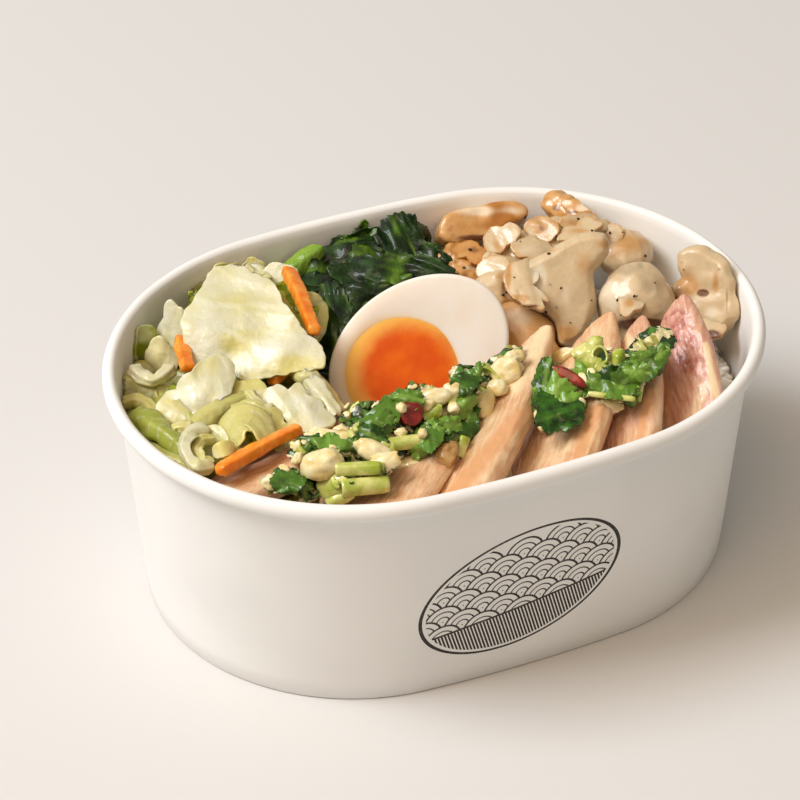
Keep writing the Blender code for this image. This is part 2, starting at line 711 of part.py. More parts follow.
def relish_left():
    bits = [
        chunk((12.0, 9.0, 8.0), 1, (-49.1, -34.5, 67.5), 10),
        chunk((9.0, 8.0, 8.0), 2, (-1.1, -25.5, 71.0), 60),
        chunk((13.0, 8.0, 7.0), 3, (-32.1, -32.5, 68.0), -20),
        chunk((11.0, 8.0, 7.0), 4, (-13.1, -19.5, 69.0), 20),
        chunk((8.0, 8.0, 7.0), 5, (-23.1, -25.5, 70.5), 20),
        chunk((9.0, 11.0, 7.0), 6, (-15.1, -35.5, 67.5), -20),
        stub((-49.1, -43.5, 65.5), (-31.1, -43.0, 66.0), 3.4),
        stub((-40.1, -37.5, 68.5), (-48.1, -30.5, 68.0), 2.2),
        stub((-32.1, -30.5, 70.5), (-20.1, -29.0, 71.0), 2.2),
        sprig((16.0, 11.0), 51, (-30.1, -22.5, 69.0), (-40, 60), 20),
        sprig((15.0, 11.0), 52, (-11.1, -28.5, 70.0), (-10, 60), 60),
        sprig((12.0, 9.0), 53, (-60.1, -36.5, 65.5), (-40, 60), 0),
        sprig((15.0, 8.0), 54, (-49.1, -26.5, 66.0), (-20, 60), 15),
    ]
    return relish("relish_left", (64.0, 17.0, 8.0), seat((-29.1, -31.5, 65.5), (-23, 74), 36),
                  bits, 2)


def relish_middle():
    bits = [
        chunk((12.0, 9.0, 8.0), 7, (15.2, -15.5, 70.7), 30),
        sprig((11.0, 9.0), 57, (2.2, -15.5, 68.7), (-20, 60), 10),
    ]
    return relish("relish_middle", (25.0, 11.0, 7.0), seat((10.2, -16.5, 68.2), (-23, 70), 36),
                  bits, 2)


def relish_right():
    bits = [
        sprig((20.0, 13.0), 61, (18.6, -36.3, 70.2), (-30, 55), 62),
        stub((19.5, -31.3, 75.2), (32.5, -34.8, 75.7), 1.9),
        stub((29.0, -26.8, 75.2), (38.0, -31.8, 76.2), 2.6),
        sprig((19.0, 11.0), 62, (49.0, -34.8, 77.7), (-10, 60), 25),
        sprig((16.0, 12.0), 63, (38.0, -39.8, 74.7), (-30, 60), -20),
        chunk((9.0, 6.0, 5.0), 8, (36.0, -45.8, 70.7), 0),
    ]
    return relish("relish_right", (34.0, 13.0, 8.0), seat((32.0, -36.3, 72.2), (-23, 66), 28),
                  bits, 2)


def build():
    clear_scene()
    box_wall()
    box_base()
    placed = []
    make_room(egg_yolk(), placed)
    placed.append(egg_white())
    for number in range(len(SLICES), 0, -1):
        make_room(chicken_slice(number, SLICES[number - 1]), placed)
    for piece in mushrooms():
        make_room(piece, placed)
    for piece in (relish_right(), relish_middle(), relish_left()):
        make_room(piece, placed)
    for number, shape in enumerate(CARROTS, 1):
        make_room(carrot_strip(number, shape), placed)
    make_room(spinach(), placed)
    make_room(cabbage(), placed)
    make_room(rice(), placed)


build()
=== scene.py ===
import math
import random

import bpy
from mathutils import Matrix, Vector, noise
from mathutils.bvhtree import BVHTree


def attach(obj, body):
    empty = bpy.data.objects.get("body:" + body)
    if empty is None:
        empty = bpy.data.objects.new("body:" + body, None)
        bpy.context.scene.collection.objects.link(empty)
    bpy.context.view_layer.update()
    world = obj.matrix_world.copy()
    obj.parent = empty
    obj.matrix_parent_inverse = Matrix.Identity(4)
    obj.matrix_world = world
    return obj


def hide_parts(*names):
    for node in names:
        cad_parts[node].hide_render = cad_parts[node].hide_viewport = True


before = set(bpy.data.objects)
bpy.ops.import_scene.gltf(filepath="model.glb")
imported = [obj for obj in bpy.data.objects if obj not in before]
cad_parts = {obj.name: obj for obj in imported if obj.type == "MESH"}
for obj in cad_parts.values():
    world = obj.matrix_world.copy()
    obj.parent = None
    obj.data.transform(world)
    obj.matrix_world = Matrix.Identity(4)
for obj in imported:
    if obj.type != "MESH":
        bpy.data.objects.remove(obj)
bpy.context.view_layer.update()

# Sizes are in millimetres; MM turns them into metres
MM = 0.001

# Camera, as the photograph shows the meal
AIM = (-3.983, 17.428, 40.0)
DISTANCE = 864.84
TURN = -22.9855
RISE = 35.869
TILT = -0.5927
FOCAL = 2981.5
FRAME = 800.0
SENSOR = 36.0

# Paper box
RIM_LENGTH = 190.0
RIM_WIDTH = 141.9
BOX_HEIGHT = 72.9
END_RADIUS = 69.96
SIDE_LEAN = 1.08
BEAD_WIDTH = 4.0
BEAD_HEIGHT = 5.0
PAPER = 0.6
LINING_GAP = 0.2
FOOT_INSET = 8.8
FOOT_WIDTH = 2.2
FOOT_HEIGHT = 3.0
FOOT_EDGE = 0.25
FOLD_EDGE = 0.2
BASE_RISE = 0.3
BASE_CLEAR = 0.35
WALL_TOP_INSET = 3.55
# How far the wall stays within the solid, and how uneven the paper is
WALL_CLEAR = 0.12
WALL_SWAY = 0.18
WALL_RIPPLE = 0.1
# Where the wall runs into the rolled rim outside and inside; the roll's angles in degrees
TUCK = 0.9
TUCK_BEND = (0.12, 0.15)
INSIDE_RISE = 2.0
ROLL_START = -62.0
ROLL_TURN = -262.0
# Points around the box, up its outside, around the roll and down its inside
WALL_AROUND = 240
WALL_STEPS = 11
ROLL_STEPS = 21
INSIDE_STEPS = 9

# Printed medallion: an oval ring, overlapping fans in it and a hatched band below them.
# FAN_EDGE and the ARC values are shares of a fan's radius, RING and PICTURE_EDGE of the oval's.
PRINT_CENTRE = (-3.0, 30.5)
PRINT_HALF = (30.0, 20.5)
PRINT_SLOPE = 0.16
PRINT_FRONT = -40.0
RING = (0.965, 1.0)
PICTURE_EDGE = 0.93
FAN_RADIUS = 5.75
FAN_ROWS = 7
FAN_START = -9.0
FAN_DROP = 3.6
FAN_FOOT = 5.0
FAN_EDGE = 0.93
ARC_STEP = 0.155
ARC_WIDTH = 0.036
BAND_TOP = -7.4
BAND_LINE = -6.7
HATCH_RUN = (0.9, 0.25)
HATCH_STEP = 0.42
HATCH_WIDTH = 0.26
INK = "#2A211C"
INK_LEAST = 0.82

# Half egg: its cut face looks along the facing (turn, rise), and a roll turns it in its plane
EGG_CENTRE = (-1.7, 7.9, 60.0)
EGG_FACING = (-23.0, 35.9)
EGG_ROLL = 39.8
EGG_HALF = (28.2, 22.0, 22.0)
EGG_TAPER = 0.05
EGG_EDGE = 0.09
EGG_EDGE_DROP = 0.012
FACE_SIZE = 0.985
FACE_LEVEL = 0.25
FACE_SWELL = 0.35
YOLK_SHIFT = -6.8
YOLK_RADIUS = 16.3
YOLK_GAP = 0.8
# Shares of the way from pole to pole at which the cut edge and the yolk's cup are reached
CUT_EDGE = 0.62
CUP_EDGE = 0.82

# How far leaves stay off the wall, and the torus that hollow pieces are made from
LEAF_CLEAR = 0.9
EDGE_CLEAR = 0.2
TORUS_RADIUS = 2.0
TORUS_TUBE = 0.5

# Floor and surroundings
FLOOR_SIZE = 8.0
FLOOR_DROP = 0.0002
FLOOR_COLOUR = "#D5D3D1"
SURROUND_COLOUR = (1.0, 0.945, 0.84, 1.0)
SURROUND_STRENGTH = 0.33


# Frames for placing pieces

def scaled(frame_matrix):
    """The same frame for points given in millimetres."""
    return frame_matrix @ Matrix.Scale(MM, 4)


def seat(centre, facing, roll=0.0):
    """Local Z points to facing (turn, rise) in degrees, local X lies level before the roll."""
    turn, rise = (math.radians(v) for v in facing)
    normal = Vector((math.sin(turn) * math.cos(rise), -math.cos(turn) * math.cos(rise),
                     math.sin(rise)))
    level = Vector((math.cos(turn), math.sin(turn), 0.0))
    axes = Matrix((level, normal.cross(level), normal)).transposed().to_4x4()
    place = Matrix.Translation(Vector(centre) * MM) @ axes
    return scaled(place @ Matrix.Rotation(math.radians(roll), 4, "Z"))


def seat_on(centre, normal, along):
    """Local Z is the normal, local X follows along as far as it can."""
    normal = Vector(normal).normalized()
    level = Vector(along) - normal * Vector(along).dot(normal)
    level.normalize()
    axes = Matrix((level, normal.cross(level), normal)).transposed().to_4x4()
    return scaled(Matrix.Translation(Vector(centre) * MM) @ axes)


def seat_along(start, end, lean):
    """Local X runs from start to end, local Z leans back from level."""
    along = (Vector(end) - Vector(start)).normalized()
    heading = math.atan2(along.y, along.x)
    rise = math.radians(lean)
    wanted = Vector((-math.sin(heading) * math.cos(rise), math.cos(heading) * math.cos(rise),
                     math.sin(rise)))
    return seat_on(start, wanted, along)


# Camera axes, also used to set small pieces where the photograph shows them

turn, rise, tilt = (math.radians(v) for v in (TURN, RISE, TILT))
BACK = Vector((math.sin(turn) * math.cos(rise), -math.cos(turn) * math.cos(rise), math.sin(rise)))
EYE = Vector(AIM) + BACK * DISTANCE
flat_right = (-BACK).cross(Vector((0, 0, 1))).normalized()
flat_up = flat_right.cross(-BACK)
RIGHT = flat_right * math.cos(tilt) + flat_up * math.sin(tilt)
UP = flat_up * math.cos(tilt) - flat_right * math.sin(tilt)


def sight(px, py):
    """Direction of view through a point of the 800 x 800 frame."""
    return (-BACK + RIGHT * ((px - FRAME / 2) / FOCAL) - UP * ((py - FRAME / 2) / FOCAL)).normalized()


def seen(px, py, height):
    """Where the line of view reaches a height, in millimetres."""
    way = sight(px, py)
    return EYE + way * ((height - EYE.z) / way.z)


def pictured(point):
    """Picture position of a point given in millimetres."""
    away = Vector(point) - EYE
    depth = -away.dot(BACK)
    return FRAME / 2 + FOCAL * away.dot(RIGHT) / depth, FRAME / 2 - FOCAL * away.dot(UP) / depth


def spot(point, px, py, wide, high=None):
    """1 at a place of the picture, falling softly to 0 at wide and high picture points away."""
    x, y = pictured(point)
    reach = ((x - px) / wide) ** 2 + ((y - py) / (high or wide)) ** 2
    return math.exp(-2.0 * reach)


def streak(point, x0, y0, x1, y1, wide):
    """1 along a line of the picture, falling softly to 0 at wide picture points beside it."""
    at = Vector(pictured(point))
    start, run = Vector((x0, y0)), Vector((x1 - x0, y1 - y0))
    share = max(0.0, min(1.0, (at - start).dot(run) / run.length_squared))
    return math.exp(-2.0 * ((at - start - run * share).length / wide) ** 2)


def in_view(px, py, height):
    """Frame at a point of the picture and a height: local X runs right, Y up, Z to the camera."""
    axes = Matrix((RIGHT, UP, BACK)).transposed().to_4x4()
    return scaled(Matrix.Translation(seen(px, py, height) * MM) @ axes)


# Box shape

def oval_point(inset, share):
    """Point of the rim's four-arc oval moved inwards by inset, share from 0 to 1 around."""
    half_x = RIM_LENGTH / 2 - inset
    half_y = RIM_WIDTH / 2 - inset * SIDE_LEAN
    end = END_RADIUS - inset * SIDE_LEAN
    run = half_x - end
    side = (run * run + half_y * half_y - end * end) / (2 * (half_y - end))
    angle = math.atan2(run, side - half_y)
    split = side * angle / (side * angle + end * (math.pi / 2 - angle))
    quarters = 4 * (share % 1.0)
    quarter = int(quarters)
    part = quarters - quarter
    if quarter % 2:
        part = 1 - part
    if part < split:
        turned = part / split * angle
        x, y = side * math.sin(turned), half_y - side + side * math.cos(turned)
    else:
        turned = angle + (part - split) / (1 - split) * (math.pi / 2 - angle)
        x, y = run + end * math.sin(turned), end * math.cos(turned)
    return (x if quarter in (0, 1) else -x), (y if quarter in (0, 3) else -y)


def inner_inset(height):
    """How far the wall's inside lies within the rim's outline at a height."""
    share = min(max(height, 0.0) / (BOX_HEIGHT - BEAD_HEIGHT), 1.0)
    return FOOT_INSET + PAPER + LINING_GAP - (FOOT_INSET - WALL_TOP_INSET) * share


def kept_inside(point, clear=0.35):
    """Presses a point of the food back inside the wall."""
    x, y, z = point
    inset = inner_inset(z) + clear
    half_x = RIM_LENGTH / 2 - inset
    half_y = RIM_WIDTH / 2 - inset * SIDE_LEAN
    end = END_RADIUS - inset * SIDE_LEAN
    run = half_x - end
    if abs(x) > run:
        away = Vector((abs(x) - run, y))
        if away.length > end:
            away *= end / away.length
            x, y = math.copysign(run + away.x, x), away.y
    else:
        side = (run * run + half_y * half_y - end * end) / (2 * (half_y - end))
        reach = half_y - side + math.sqrt(side * side - x * x)
        if abs(y) > reach:
            y = math.copysign(reach, y)
    return Vector((x, y, z))


# Finishes

class Wire:
    """A socket that takes part in plain arithmetic."""

    def __init__(self, finish, socket):
        self.finish, self.socket = finish, socket

    def sum_of(self, operation, *values):
        return self.finish.node("Math", {"operation": operation}, dict(enumerate(values)))

    def __add__(self, other):
        return self.sum_of("ADD", self, other)

    __radd__ = __add__

    def __sub__(self, other):
        return self.sum_of("SUBTRACT", self, other)

    def __rsub__(self, other):
        return self.sum_of("SUBTRACT", other, self)

    def __mul__(self, other):
        return self.sum_of("MULTIPLY", self, other)

    __rmul__ = __mul__

    def __truediv__(self, other):
        return self.sum_of("DIVIDE", self, other)

    def __pow__(self, other):
        return self.sum_of("POWER", self, other)

    def __lt__(self, other):
        return self.sum_of("LESS_THAN", self, other)

    def __gt__(self, other):
        return self.sum_of("GREATER_THAN", self, other)

    def largest(self, other):
        return self.sum_of("MAXIMUM", self, other)

    def smallest(self, other):
        return self.sum_of("MINIMUM", self, other)

    def step(self, low, high):
        """0 below low, 1 above high, smooth between."""
        return self.finish.node("MapRange", {"interpolation_type": "SMOOTHSTEP"},
                                {"Value": self, "From Min": low, "From Max": high})


def paint(code):
    """Linear colour of a written #RRGGBB."""
    parts = [int(code[i:i + 2], 16) / 255 for i in (1, 3, 5)]
    return tuple(c / 12.92 if c <= 0.04045 else ((c + 0.055) / 1.055) ** 2.4 for c in parts) + (1.0,)


class Finish:
    """A material with one shader and the nodes that feed it."""

    def __init__(self, name, **sockets):
        self.material = bpy.data.materials.new(name)
        self.material.use_nodes = True
        self.tree = self.material.node_tree
        self.shader = self.tree.nodes["Principled BSDF"]
        self.coords = None
        for key, value in sockets.items():
            self.put(key.replace("_", " ").title(), value)

    def feed(self, target, value):
        """Gives a socket a link, a written colour or a plain value."""
        if isinstance(value, Wire):
            self.tree.links.new(value.socket, target)
        elif isinstance(value, str):
            target.default_value = paint(value)
        else:
            target.default_value = value

    def put(self, socket, value):
        self.feed(self.shader.inputs[socket], value)

    def node(self, kind, settings=None, values=None, out=0):
        """Adds a node: its settings first, then the values or links of its sockets."""
        made = self.tree.nodes.new("ShaderNode" + kind)
        for key, value in (settings or {}).items():
            setattr(made, key, value)
        for key, value in (values or {}).items():
            self.feed(made.inputs[key], value)
        return Wire(self, made.outputs[out])

    def place(self):
        """Object coordinates in millimetres."""
        start = self.node("TexCoord", out=3)
        return self.node("Mapping", {}, {0: start, "Scale": (1 / MM, 1 / MM, 1 / MM)})

    def axes(self):
        """The three object coordinates, one wire each."""
        parts = self.node("SeparateXYZ", {}, {0: self.place()}).socket.node
        return [Wire(self, parts.outputs[k]) for k in range(3)]

    def clouds(self, size, detail=3.0, rough=0.5):
        """Soft noise whose lumps are about size millimetres across."""
        return self.node("TexNoise", {}, {"Vector": self.place(), "Scale": 1.0 / size,
                                          "Detail": detail, "Roughness": rough})

    def cells(self, size, out=0):
        """Cells about size millimetres across: distance to the middle, or with out=1 a colour each."""
        return self.node("TexVoronoi", {"feature": "F1"},
                         {"Vector": self.place(), "Scale": 1.0 / size}, out)

    def folded(self, value, half):
        """Runs up to half and down again, over and over."""
        return self.node("Math", {"operation": "PINGPONG"}, {0: value, 1: half})

    def mark(self, name):
        """A value painted on the piece's own points."""
        return self.node("Attribute", {"attribute_name": name}, out=2)

    def mix(self, share, one, two):
        """Colour one where share is 0, colour two where it is 1."""
        return self.node("Mix", {"data_type": "RGBA"}, {0: share, 6: one, 7: two}, out=2)

    def bump(self, height, depth, strength, normal=None):
        """Relief as deep as depth in millimetres, on top of the relief given as normal."""
        values = {"Height": height, "Distance": depth * MM, "Strength": strength}
        if normal:
            values["Normal"] = normal
        return self.node("Bump", {}, values)


# Pieces

def adopt(item, slot_name, finish, *nodes):
    """Gives a finished piece its finish and its place in the model."""
    item.data.materials.clear()
    item.data.materials.append(finish.material)
    for face in item.data.polygons:
        face.use_smooth = True
    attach(item, "root")
    if nodes:
        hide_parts(*nodes)
    return item


def alone(item):
    """Selects one piece and nothing else."""
    bpy.ops.object.select_all(action="DESELECT")
    item.select_set(True)
    bpy.context.view_layer.objects.active = item
    return item


def applied(item, kind, **settings):
    """Adds a modifier and applies it."""
    change = item.modifiers.new(kind.title(), kind)
    for key, value in settings.items():
        setattr(change, key, value)
    alone(item)
    bpy.ops.object.modifier_apply(modifier=change.name)
    return item


def edited(item, operator, **settings):
    """Runs one edit-mode operator on the whole piece."""
    alone(item)
    bpy.ops.object.mode_set(mode="EDIT")
    bpy.ops.mesh.select_all(action="SELECT")
    operator(**settings)
    bpy.ops.object.mode_set(mode="OBJECT")
    return item


def face_out(item):
    """Turns every face outwards."""
    return edited(item, bpy.ops.mesh.normals_make_consistent, inside=False)


def ball(name, around, rings, shape, place):
    """A sphere primitive whose points shape(share from pole to pole, angle) moves."""
    bpy.ops.object.select_all(action="DESELECT")
    bpy.ops.mesh.primitive_uv_sphere_add(segments=around, ring_count=rings, radius=1.0,
                                         location=(0, 0, 0))
    item = bpy.context.object
    item.name = item.data.name = name
    for vert in item.data.vertices:
        share = math.acos(max(-1.0, min(1.0, vert.co.z))) / math.pi
        vert.co = place @ Vector(shape(share, math.atan2(vert.co.y, vert.co.x)))
    return face_out(item)


def torus(name, around, small_around):
    """A torus primitive, to be given its shape point by point."""
    bpy.ops.object.select_all(action="DESELECT")
    bpy.ops.mesh.primitive_torus_add(major_segments=around, minor_segments=small_around,
                                     major_radius=TORUS_RADIUS, minor_radius=TORUS_TUBE,
                                     location=(0, 0, 0))
    item = bpy.context.object
    item.name = item.data.name = name
    return item


def torus_angles(point):
    """Angles of a torus point: around the axis and around the tube."""
    out = math.hypot(point.x, point.y) - TORUS_RADIUS
    return math.atan2(point.y, point.x), math.atan2(point.z, out)


def sheet_of(name, cols, rows, shape, place):
    """A grid primitive whose points shape(s, t) moves, s and t from -1 to 1."""
    bpy.ops.object.select_all(action="DESELECT")
    bpy.ops.mesh.primitive_grid_add(x_subdivisions=cols, y_subdivisions=rows, size=2.0,
                                    location=(0, 0, 0))
    item = bpy.context.object
    item.name = item.data.name = name
    for vert in item.data.vertices:
        vert.co = place @ Vector(shape(vert.co.x, vert.co.y))
    return item


def painted(item, **marks):
    """Stores one value per point for each mark, worked out from the point in millimetres."""
    for name, rule in marks.items():
        layer = item.data.attributes.new(name, "FLOAT", "POINT")
        layer.data.foreach_set("value", [float(rule(v.co / MM)) for v in item.data.vertices])
    return item


def joined(items, name):
    """Several pieces made one."""
    bpy.ops.object.select_all(action="DESELECT")
    for item in items:
        item.select_set(True)
    bpy.context.view_layer.objects.active = items[0]
    if len(items) > 1:
        bpy.ops.object.join()
    items[0].name = items[0].data.name = name
    return items[0]


def moved(item, rule):
    """Moves every point by rule(point in mm, normal) -> point in mm, kept inside the box."""
    normals = [v.normal.copy() for v in item.data.vertices]
    for vert, normal in zip(item.data.vertices, normals):
        vert.co = kept_inside(rule(vert.co / MM, normal)) * MM
    item.data.update()
    return item


def cad_copy(node, name, voxel, soften):
    """A copy of a solid, merged, remeshed fine enough to be shaped, and softened."""
    item = bpy.data.objects.new(name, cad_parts[node].data.copy())
    bpy.context.scene.collection.objects.link(item)
    item.hide_render = False
    edited(item, bpy.ops.mesh.remove_doubles, threshold=0.02 * MM)
    applied(item, "REMESH", mode="VOXEL", voxel_size=voxel * MM, use_smooth_shade=True)
    return applied(item, "SMOOTH", factor=0.5, iterations=soften)


def pressed_inside(item, clear):
    """Presses every point back inside the wall."""
    for vert in item.data.vertices:
        vert.co = kept_inside(vert.co / MM, clear) * MM


def thickened(item, thick):
    """Gives a sheet its thickness in millimetres, half of it on each side."""
    return applied(item, "SOLIDIFY", thickness=thick * MM, offset=0.0)


def tree_of(item):
    """A search tree of the piece's faces, for lines that are to meet it."""
    bpy.context.view_layer.update()
    return BVHTree.FromObject(item, bpy.context.evaluated_depsgraph_get())


def middle_of(drawn):
    """Middle of an outline drawn in picture points."""
    return [sum(point[k] for point in drawn) / len(drawn) for k in (0, 1)]


def waves(point, size, seed, octaves=3, rough=0.5):
    """Smooth noise, about -1 to 1, with lumps of the given size."""
    start = Vector(point) / size + Vector((seed * 7.31, seed * 3.77, seed * 1.93))
    return noise.fractal(start, 1.0 - rough, 2.0, octaves, noise_basis="PERLIN_ORIGINAL")


def creases(point, size, seed, octaves=3):
    """Folded noise: sharp ridges between rounded hollows, 0 to 1."""
    value, weight, total = 0.0, 1.0, 0.0
    at = Vector(point) / size + Vector((seed * 5.17, seed * 2.39, seed * 8.11))
    for _ in range(octaves):
        value += weight * (1 - abs(noise.noise(at)) * 2)
        total += weight
        at = at * 2.03 + Vector((3.1, 1.7, 9.2))
        weight *= 0.5
    return value / total


# Paper box

def wall_profile():
    """Closed section of the wall: foot, outside, rolled rim, inside."""
    bead = BOX_HEIGHT - BEAD_HEIGHT / 2
    tuck = BOX_HEIGHT - BEAD_HEIGHT + TUCK
    lean = FOOT_INSET - WALL_TOP_INSET
    outside = [(FOOT_INSET + FOOT_EDGE, 0.0), (FOOT_INSET, FOOT_EDGE)]
    for k in range(1, WALL_STEPS + 1):
        share = k / WALL_STEPS
        outside.append((FOOT_INSET - lean * share, tuck * share))
    roll = [(WALL_TOP_INSET - TUCK_BEND[0], tuck + TUCK_BEND[1])]
    for k in range(ROLL_STEPS + 1):
        turned = math.radians(ROLL_START + ROLL_TURN * k / ROLL_STEPS)
        roll.append((BEAD_WIDTH / 2 * (1 + math.cos(turned)),
                     bead + BEAD_HEIGHT / 2 * math.sin(turned)))
    inside = []
    top = BOX_HEIGHT - BEAD_HEIGHT + INSIDE_RISE
    for k in range(INSIDE_STEPS + 1):
        height = top + (FOOT_HEIGHT - top) * k / INSIDE_STEPS
        inside.append((FOOT_INSET + PAPER - lean * height / top, height))
    back = FOOT_INSET + FOOT_WIDTH
    foot = [(back - FOLD_EDGE, FOOT_HEIGHT), (back, FOOT_HEIGHT - FOLD_EDGE),
            (back, FOOT_EDGE), (back - FOOT_EDGE, 0.0)]
    return outside + roll + inside + foot


def paper_wall():
    """A torus primitive whose big turn follows the oval and small turn the wall's section."""
    section = wall_profile()
    item = torus("paper_wall", WALL_AROUND, len(section))
    lengths = []
    for vert in item.data.vertices:
        big, small = (angle / math.tau % 1.0 for angle in torus_angles(vert.co))
        share = round(big * WALL_AROUND) % WALL_AROUND / WALL_AROUND
        inset, height = section[round(small * len(section)) % len(section)]
        sway = WALL_SWAY * math.sin(math.tau * 2 * share + 0.7) * (height / BOX_HEIGHT) ** 2
        ripple = WALL_RIPPLE * noise.noise(Vector((share * 40, height / 25, 0)))
        x, y = oval_point(inset + WALL_CLEAR + ripple * min(height / 20, 1.0), -share)
        vert.co = Vector((x, y + sway, height)) * MM
        lengths.append((share, height))
    layer = item.data.uv_layers.active or item.data.uv_layers.new(name="wall")
    for face in item.data.polygons:
        shares = [lengths[item.data.loops[i].vertex_index][0] for i in face.loop_indices]
        wraps = max(shares) - min(shares) > 0.5
        for i, share in zip(face.loop_indices, shares):
            height = lengths[item.data.loops[i].vertex_index][1]
            layer.data[i].uv = ((share + 1.0 if wraps and share < 0.5 else share), height / 100.0)
    return face_out(item)


def white_paper(printed):
    """Matt white board with a faint fibre, and the printed medallion on the front wall."""
    finish = Finish("white paper", roughness=0.52, base_color="#F3F0EB")
    finish.put("Specular IOR Level", 0.35)
    fibre = finish.clouds(1.2, 4, 0.6)
    patches = finish.clouds(38, 2)
    plain = finish.mix(patches.step(0.35, 0.65), "#EBE9E5", "#F0EEEA")
    finish.put("Normal", finish.bump(fibre, 0.03, 0.5))
    if not printed:
        finish.put("Base Color", plain)
        return finish
    x, y, z = finish.axes()
    x = x - PRINT_CENTRE[0]
    z = z - PRINT_CENTRE[1] - x * PRINT_SLOPE
    front = y < PRINT_FRONT
    radius = ((x / PRINT_HALF[0]) ** 2 + (z / PRINT_HALF[1]) ** 2) ** 0.5
    inside = radius < PICTURE_EDGE
    ring = (radius > RING[0]) * (radius < RING[1])
    # Overlapping fans: each row of arcs is hidden by the row in front of it
    ink, cover = None, None
    for row in range(FAN_ROWS):
        level = FAN_START + row * FAN_DROP
        offset = FAN_RADIUS if row % 2 else 0.0
        cell = finish.folded(x + offset, FAN_RADIUS)
        reach = ((cell ** 2 + (z - level) ** 2) ** 0.5) / FAN_RADIUS
        fan = (reach < 1.0) * (z > level - FAN_FOOT)
        strokes = (finish.folded(reach, ARC_STEP) < ARC_WIDTH).largest(reach > FAN_EDGE) * fan
        if ink is None:
            ink, cover = strokes, fan
        else:
            ink = ink + strokes * (1 - cover)
            cover = cover.largest(fan)
    low = z < BAND_TOP
    band = (finish.folded(x * HATCH_RUN[0] + z * HATCH_RUN[1], HATCH_STEP) < HATCH_WIDTH) * low
    edge = (z > BAND_TOP) * (z < BAND_LINE)
    drawing = (ink * (1 - low) + band + edge) * inside + ring
    wear = finish.clouds(0.5, 2).step(0.2, 0.45)
    mask = drawing.smallest(1.0) * front * (INK_LEAST + (1 - INK_LEAST) * wear)
    finish.put("Base Color", finish.mix(mask, plain, INK))
    return finish


def paper_base():
    """The recessed base inside the foot."""
    low, high = FOOT_HEIGHT + BASE_RISE, FOOT_HEIGHT + BASE_RISE + PAPER

    def shape(share, angle):
        inset = inner_inset(low) + BASE_CLEAR
        size = min(1.0, math.sin(math.pi * share) * 3.0)
        x, y = oval_point(inset, (angle / math.tau) % 1.0)
        return x * size, y * size, high if share < 0.5 else low
    return ball("paper_base", 96, 24, shape, scaled(Matrix.Identity(4)))


adopt(paper_wall(), "paper", white_paper(True), "box_wall")
adopt(paper_base(), "paper", white_paper(False), "box_base")


# Egg

EGG_PLACE = seat(EGG_CENTRE, EGG_FACING, EGG_ROLL)


def white_shape(share, angle):
    """From the back pole over the outside, round the cut edge, across the face, into the cup."""
    a, b, c = EGG_HALF
    if share <= CUT_EDGE:
        depth = math.pi / 2 * (1 - share / CUT_EDGE)
        soft = max(0.0, 1 - depth / EGG_EDGE)
        spread = math.cos(depth) - EGG_EDGE_DROP * soft ** 2
        along = math.cos(angle) * spread
        narrow = 1 - EGG_TAPER * along
        return a * along, b * math.sin(angle) * spread * narrow, -c * math.sin(depth)
    hole = YOLK_RADIUS - YOLK_GAP
    if share <= CUP_EDGE:
        part = (share - CUT_EDGE) / (CUP_EDGE - CUT_EDGE)
        along, across = math.cos(angle) * FACE_SIZE, math.sin(angle) * FACE_SIZE
        rim_x, rim_y = a * along, b * across * (1 - EGG_TAPER * along)
        hole_x, hole_y = YOLK_SHIFT + hole * math.cos(angle), hole * math.sin(angle)
        level = FACE_LEVEL + FACE_SWELL * math.sin(math.pi * part)
        return rim_x + (hole_x - rim_x) * part, rim_y + (hole_y - rim_y) * part, level
    depth = (share - CUP_EDGE) / (1 - CUP_EDGE) * math.pi / 2
    return (YOLK_SHIFT + hole * math.cos(depth) * math.cos(angle),
            hole * math.cos(depth) * math.sin(angle), 0.2 - hole * math.sin(depth))


def yolk_shape(share, angle):
    """A shallow dome on the cut face, round below."""
    wobble = 1 + 0.012 * math.sin(3 * angle + 1) + 0.008 * math.sin(7 * angle)
    if share < 0.5:
        radius = YOLK_RADIUS * math.sin(math.pi * share) * wobble
        level = 0.3 + 0.25 * math.cos(math.pi * share)
    else:
        radius = YOLK_RADIUS * math.sin(math.pi * share) * (wobble if share < 0.6 else 1.0)
        level = 0.3 + YOLK_RADIUS * math.cos(math.pi * share)
    return YOLK_SHIFT + radius * math.cos(angle), radius * math.sin(angle), level


def egg_finishes():
    """Glossy white with a painted glow beside the yolk, and a deep orange yolk with a lighter edge that
    painted light widens on the left.
    """
    white = Finish("egg white", roughness=0.3, base_color="#F4E6D8", subsurface_weight=0.35,
                   subsurface_radius=(0.004, 0.0025, 0.0018), coat_weight=0.15, coat_roughness=0.2)
    white.put("Subsurface Scale", 1.0)
    tone = white.clouds(14, 3).step(0.3, 0.7)
    plain = white.mix(tone, "#F5EEE5", "#F2E5D6")
    # Painted glow: the white turns orange beside the yolk, as if the yolk's light shone through it
    white.put("Base Color", white.mix(white.mark("glow"), plain, "#FFCE8A"))
    pits = white.clouds(0.7, 3, 0.6)
    white.put("Normal", white.bump(pits, 0.02, 0.5, white.bump(white.clouds(6, 2), 0.12, 0.5)))
    yolk = Finish("egg yolk", roughness=0.42, base_color="#E2660E", subsurface_weight=0.2,
                  subsurface_radius=(0.003, 0.001, 0.0002), coat_weight=0.25, coat_roughness=0.08)
    yolk.put("Specular IOR Level", 0.25)
    yolk.put("Subsurface Scale", 1.0)
    edge = yolk.mark("edge") + (yolk.clouds(5, 3) - 0.5) * 0.16
    core = yolk.mix(yolk.clouds(7, 4).step(0.35, 0.7), "#E25600", "#EE6C00")
    # Lighter rim: the yolk's own paler edge, widened on the left as painted light
    rim = yolk.mix(edge.step(0.6, 1.0), core, "#FFBE58")
    yolk.put("Base Color", rim)
    grains = yolk.clouds(0.8, 4, 0.7)
    yolk.put("Normal", yolk.bump(grains, 0.06, 0.5, yolk.bump(yolk.clouds(5, 2), 0.25, 0.6)))
    return white, yolk


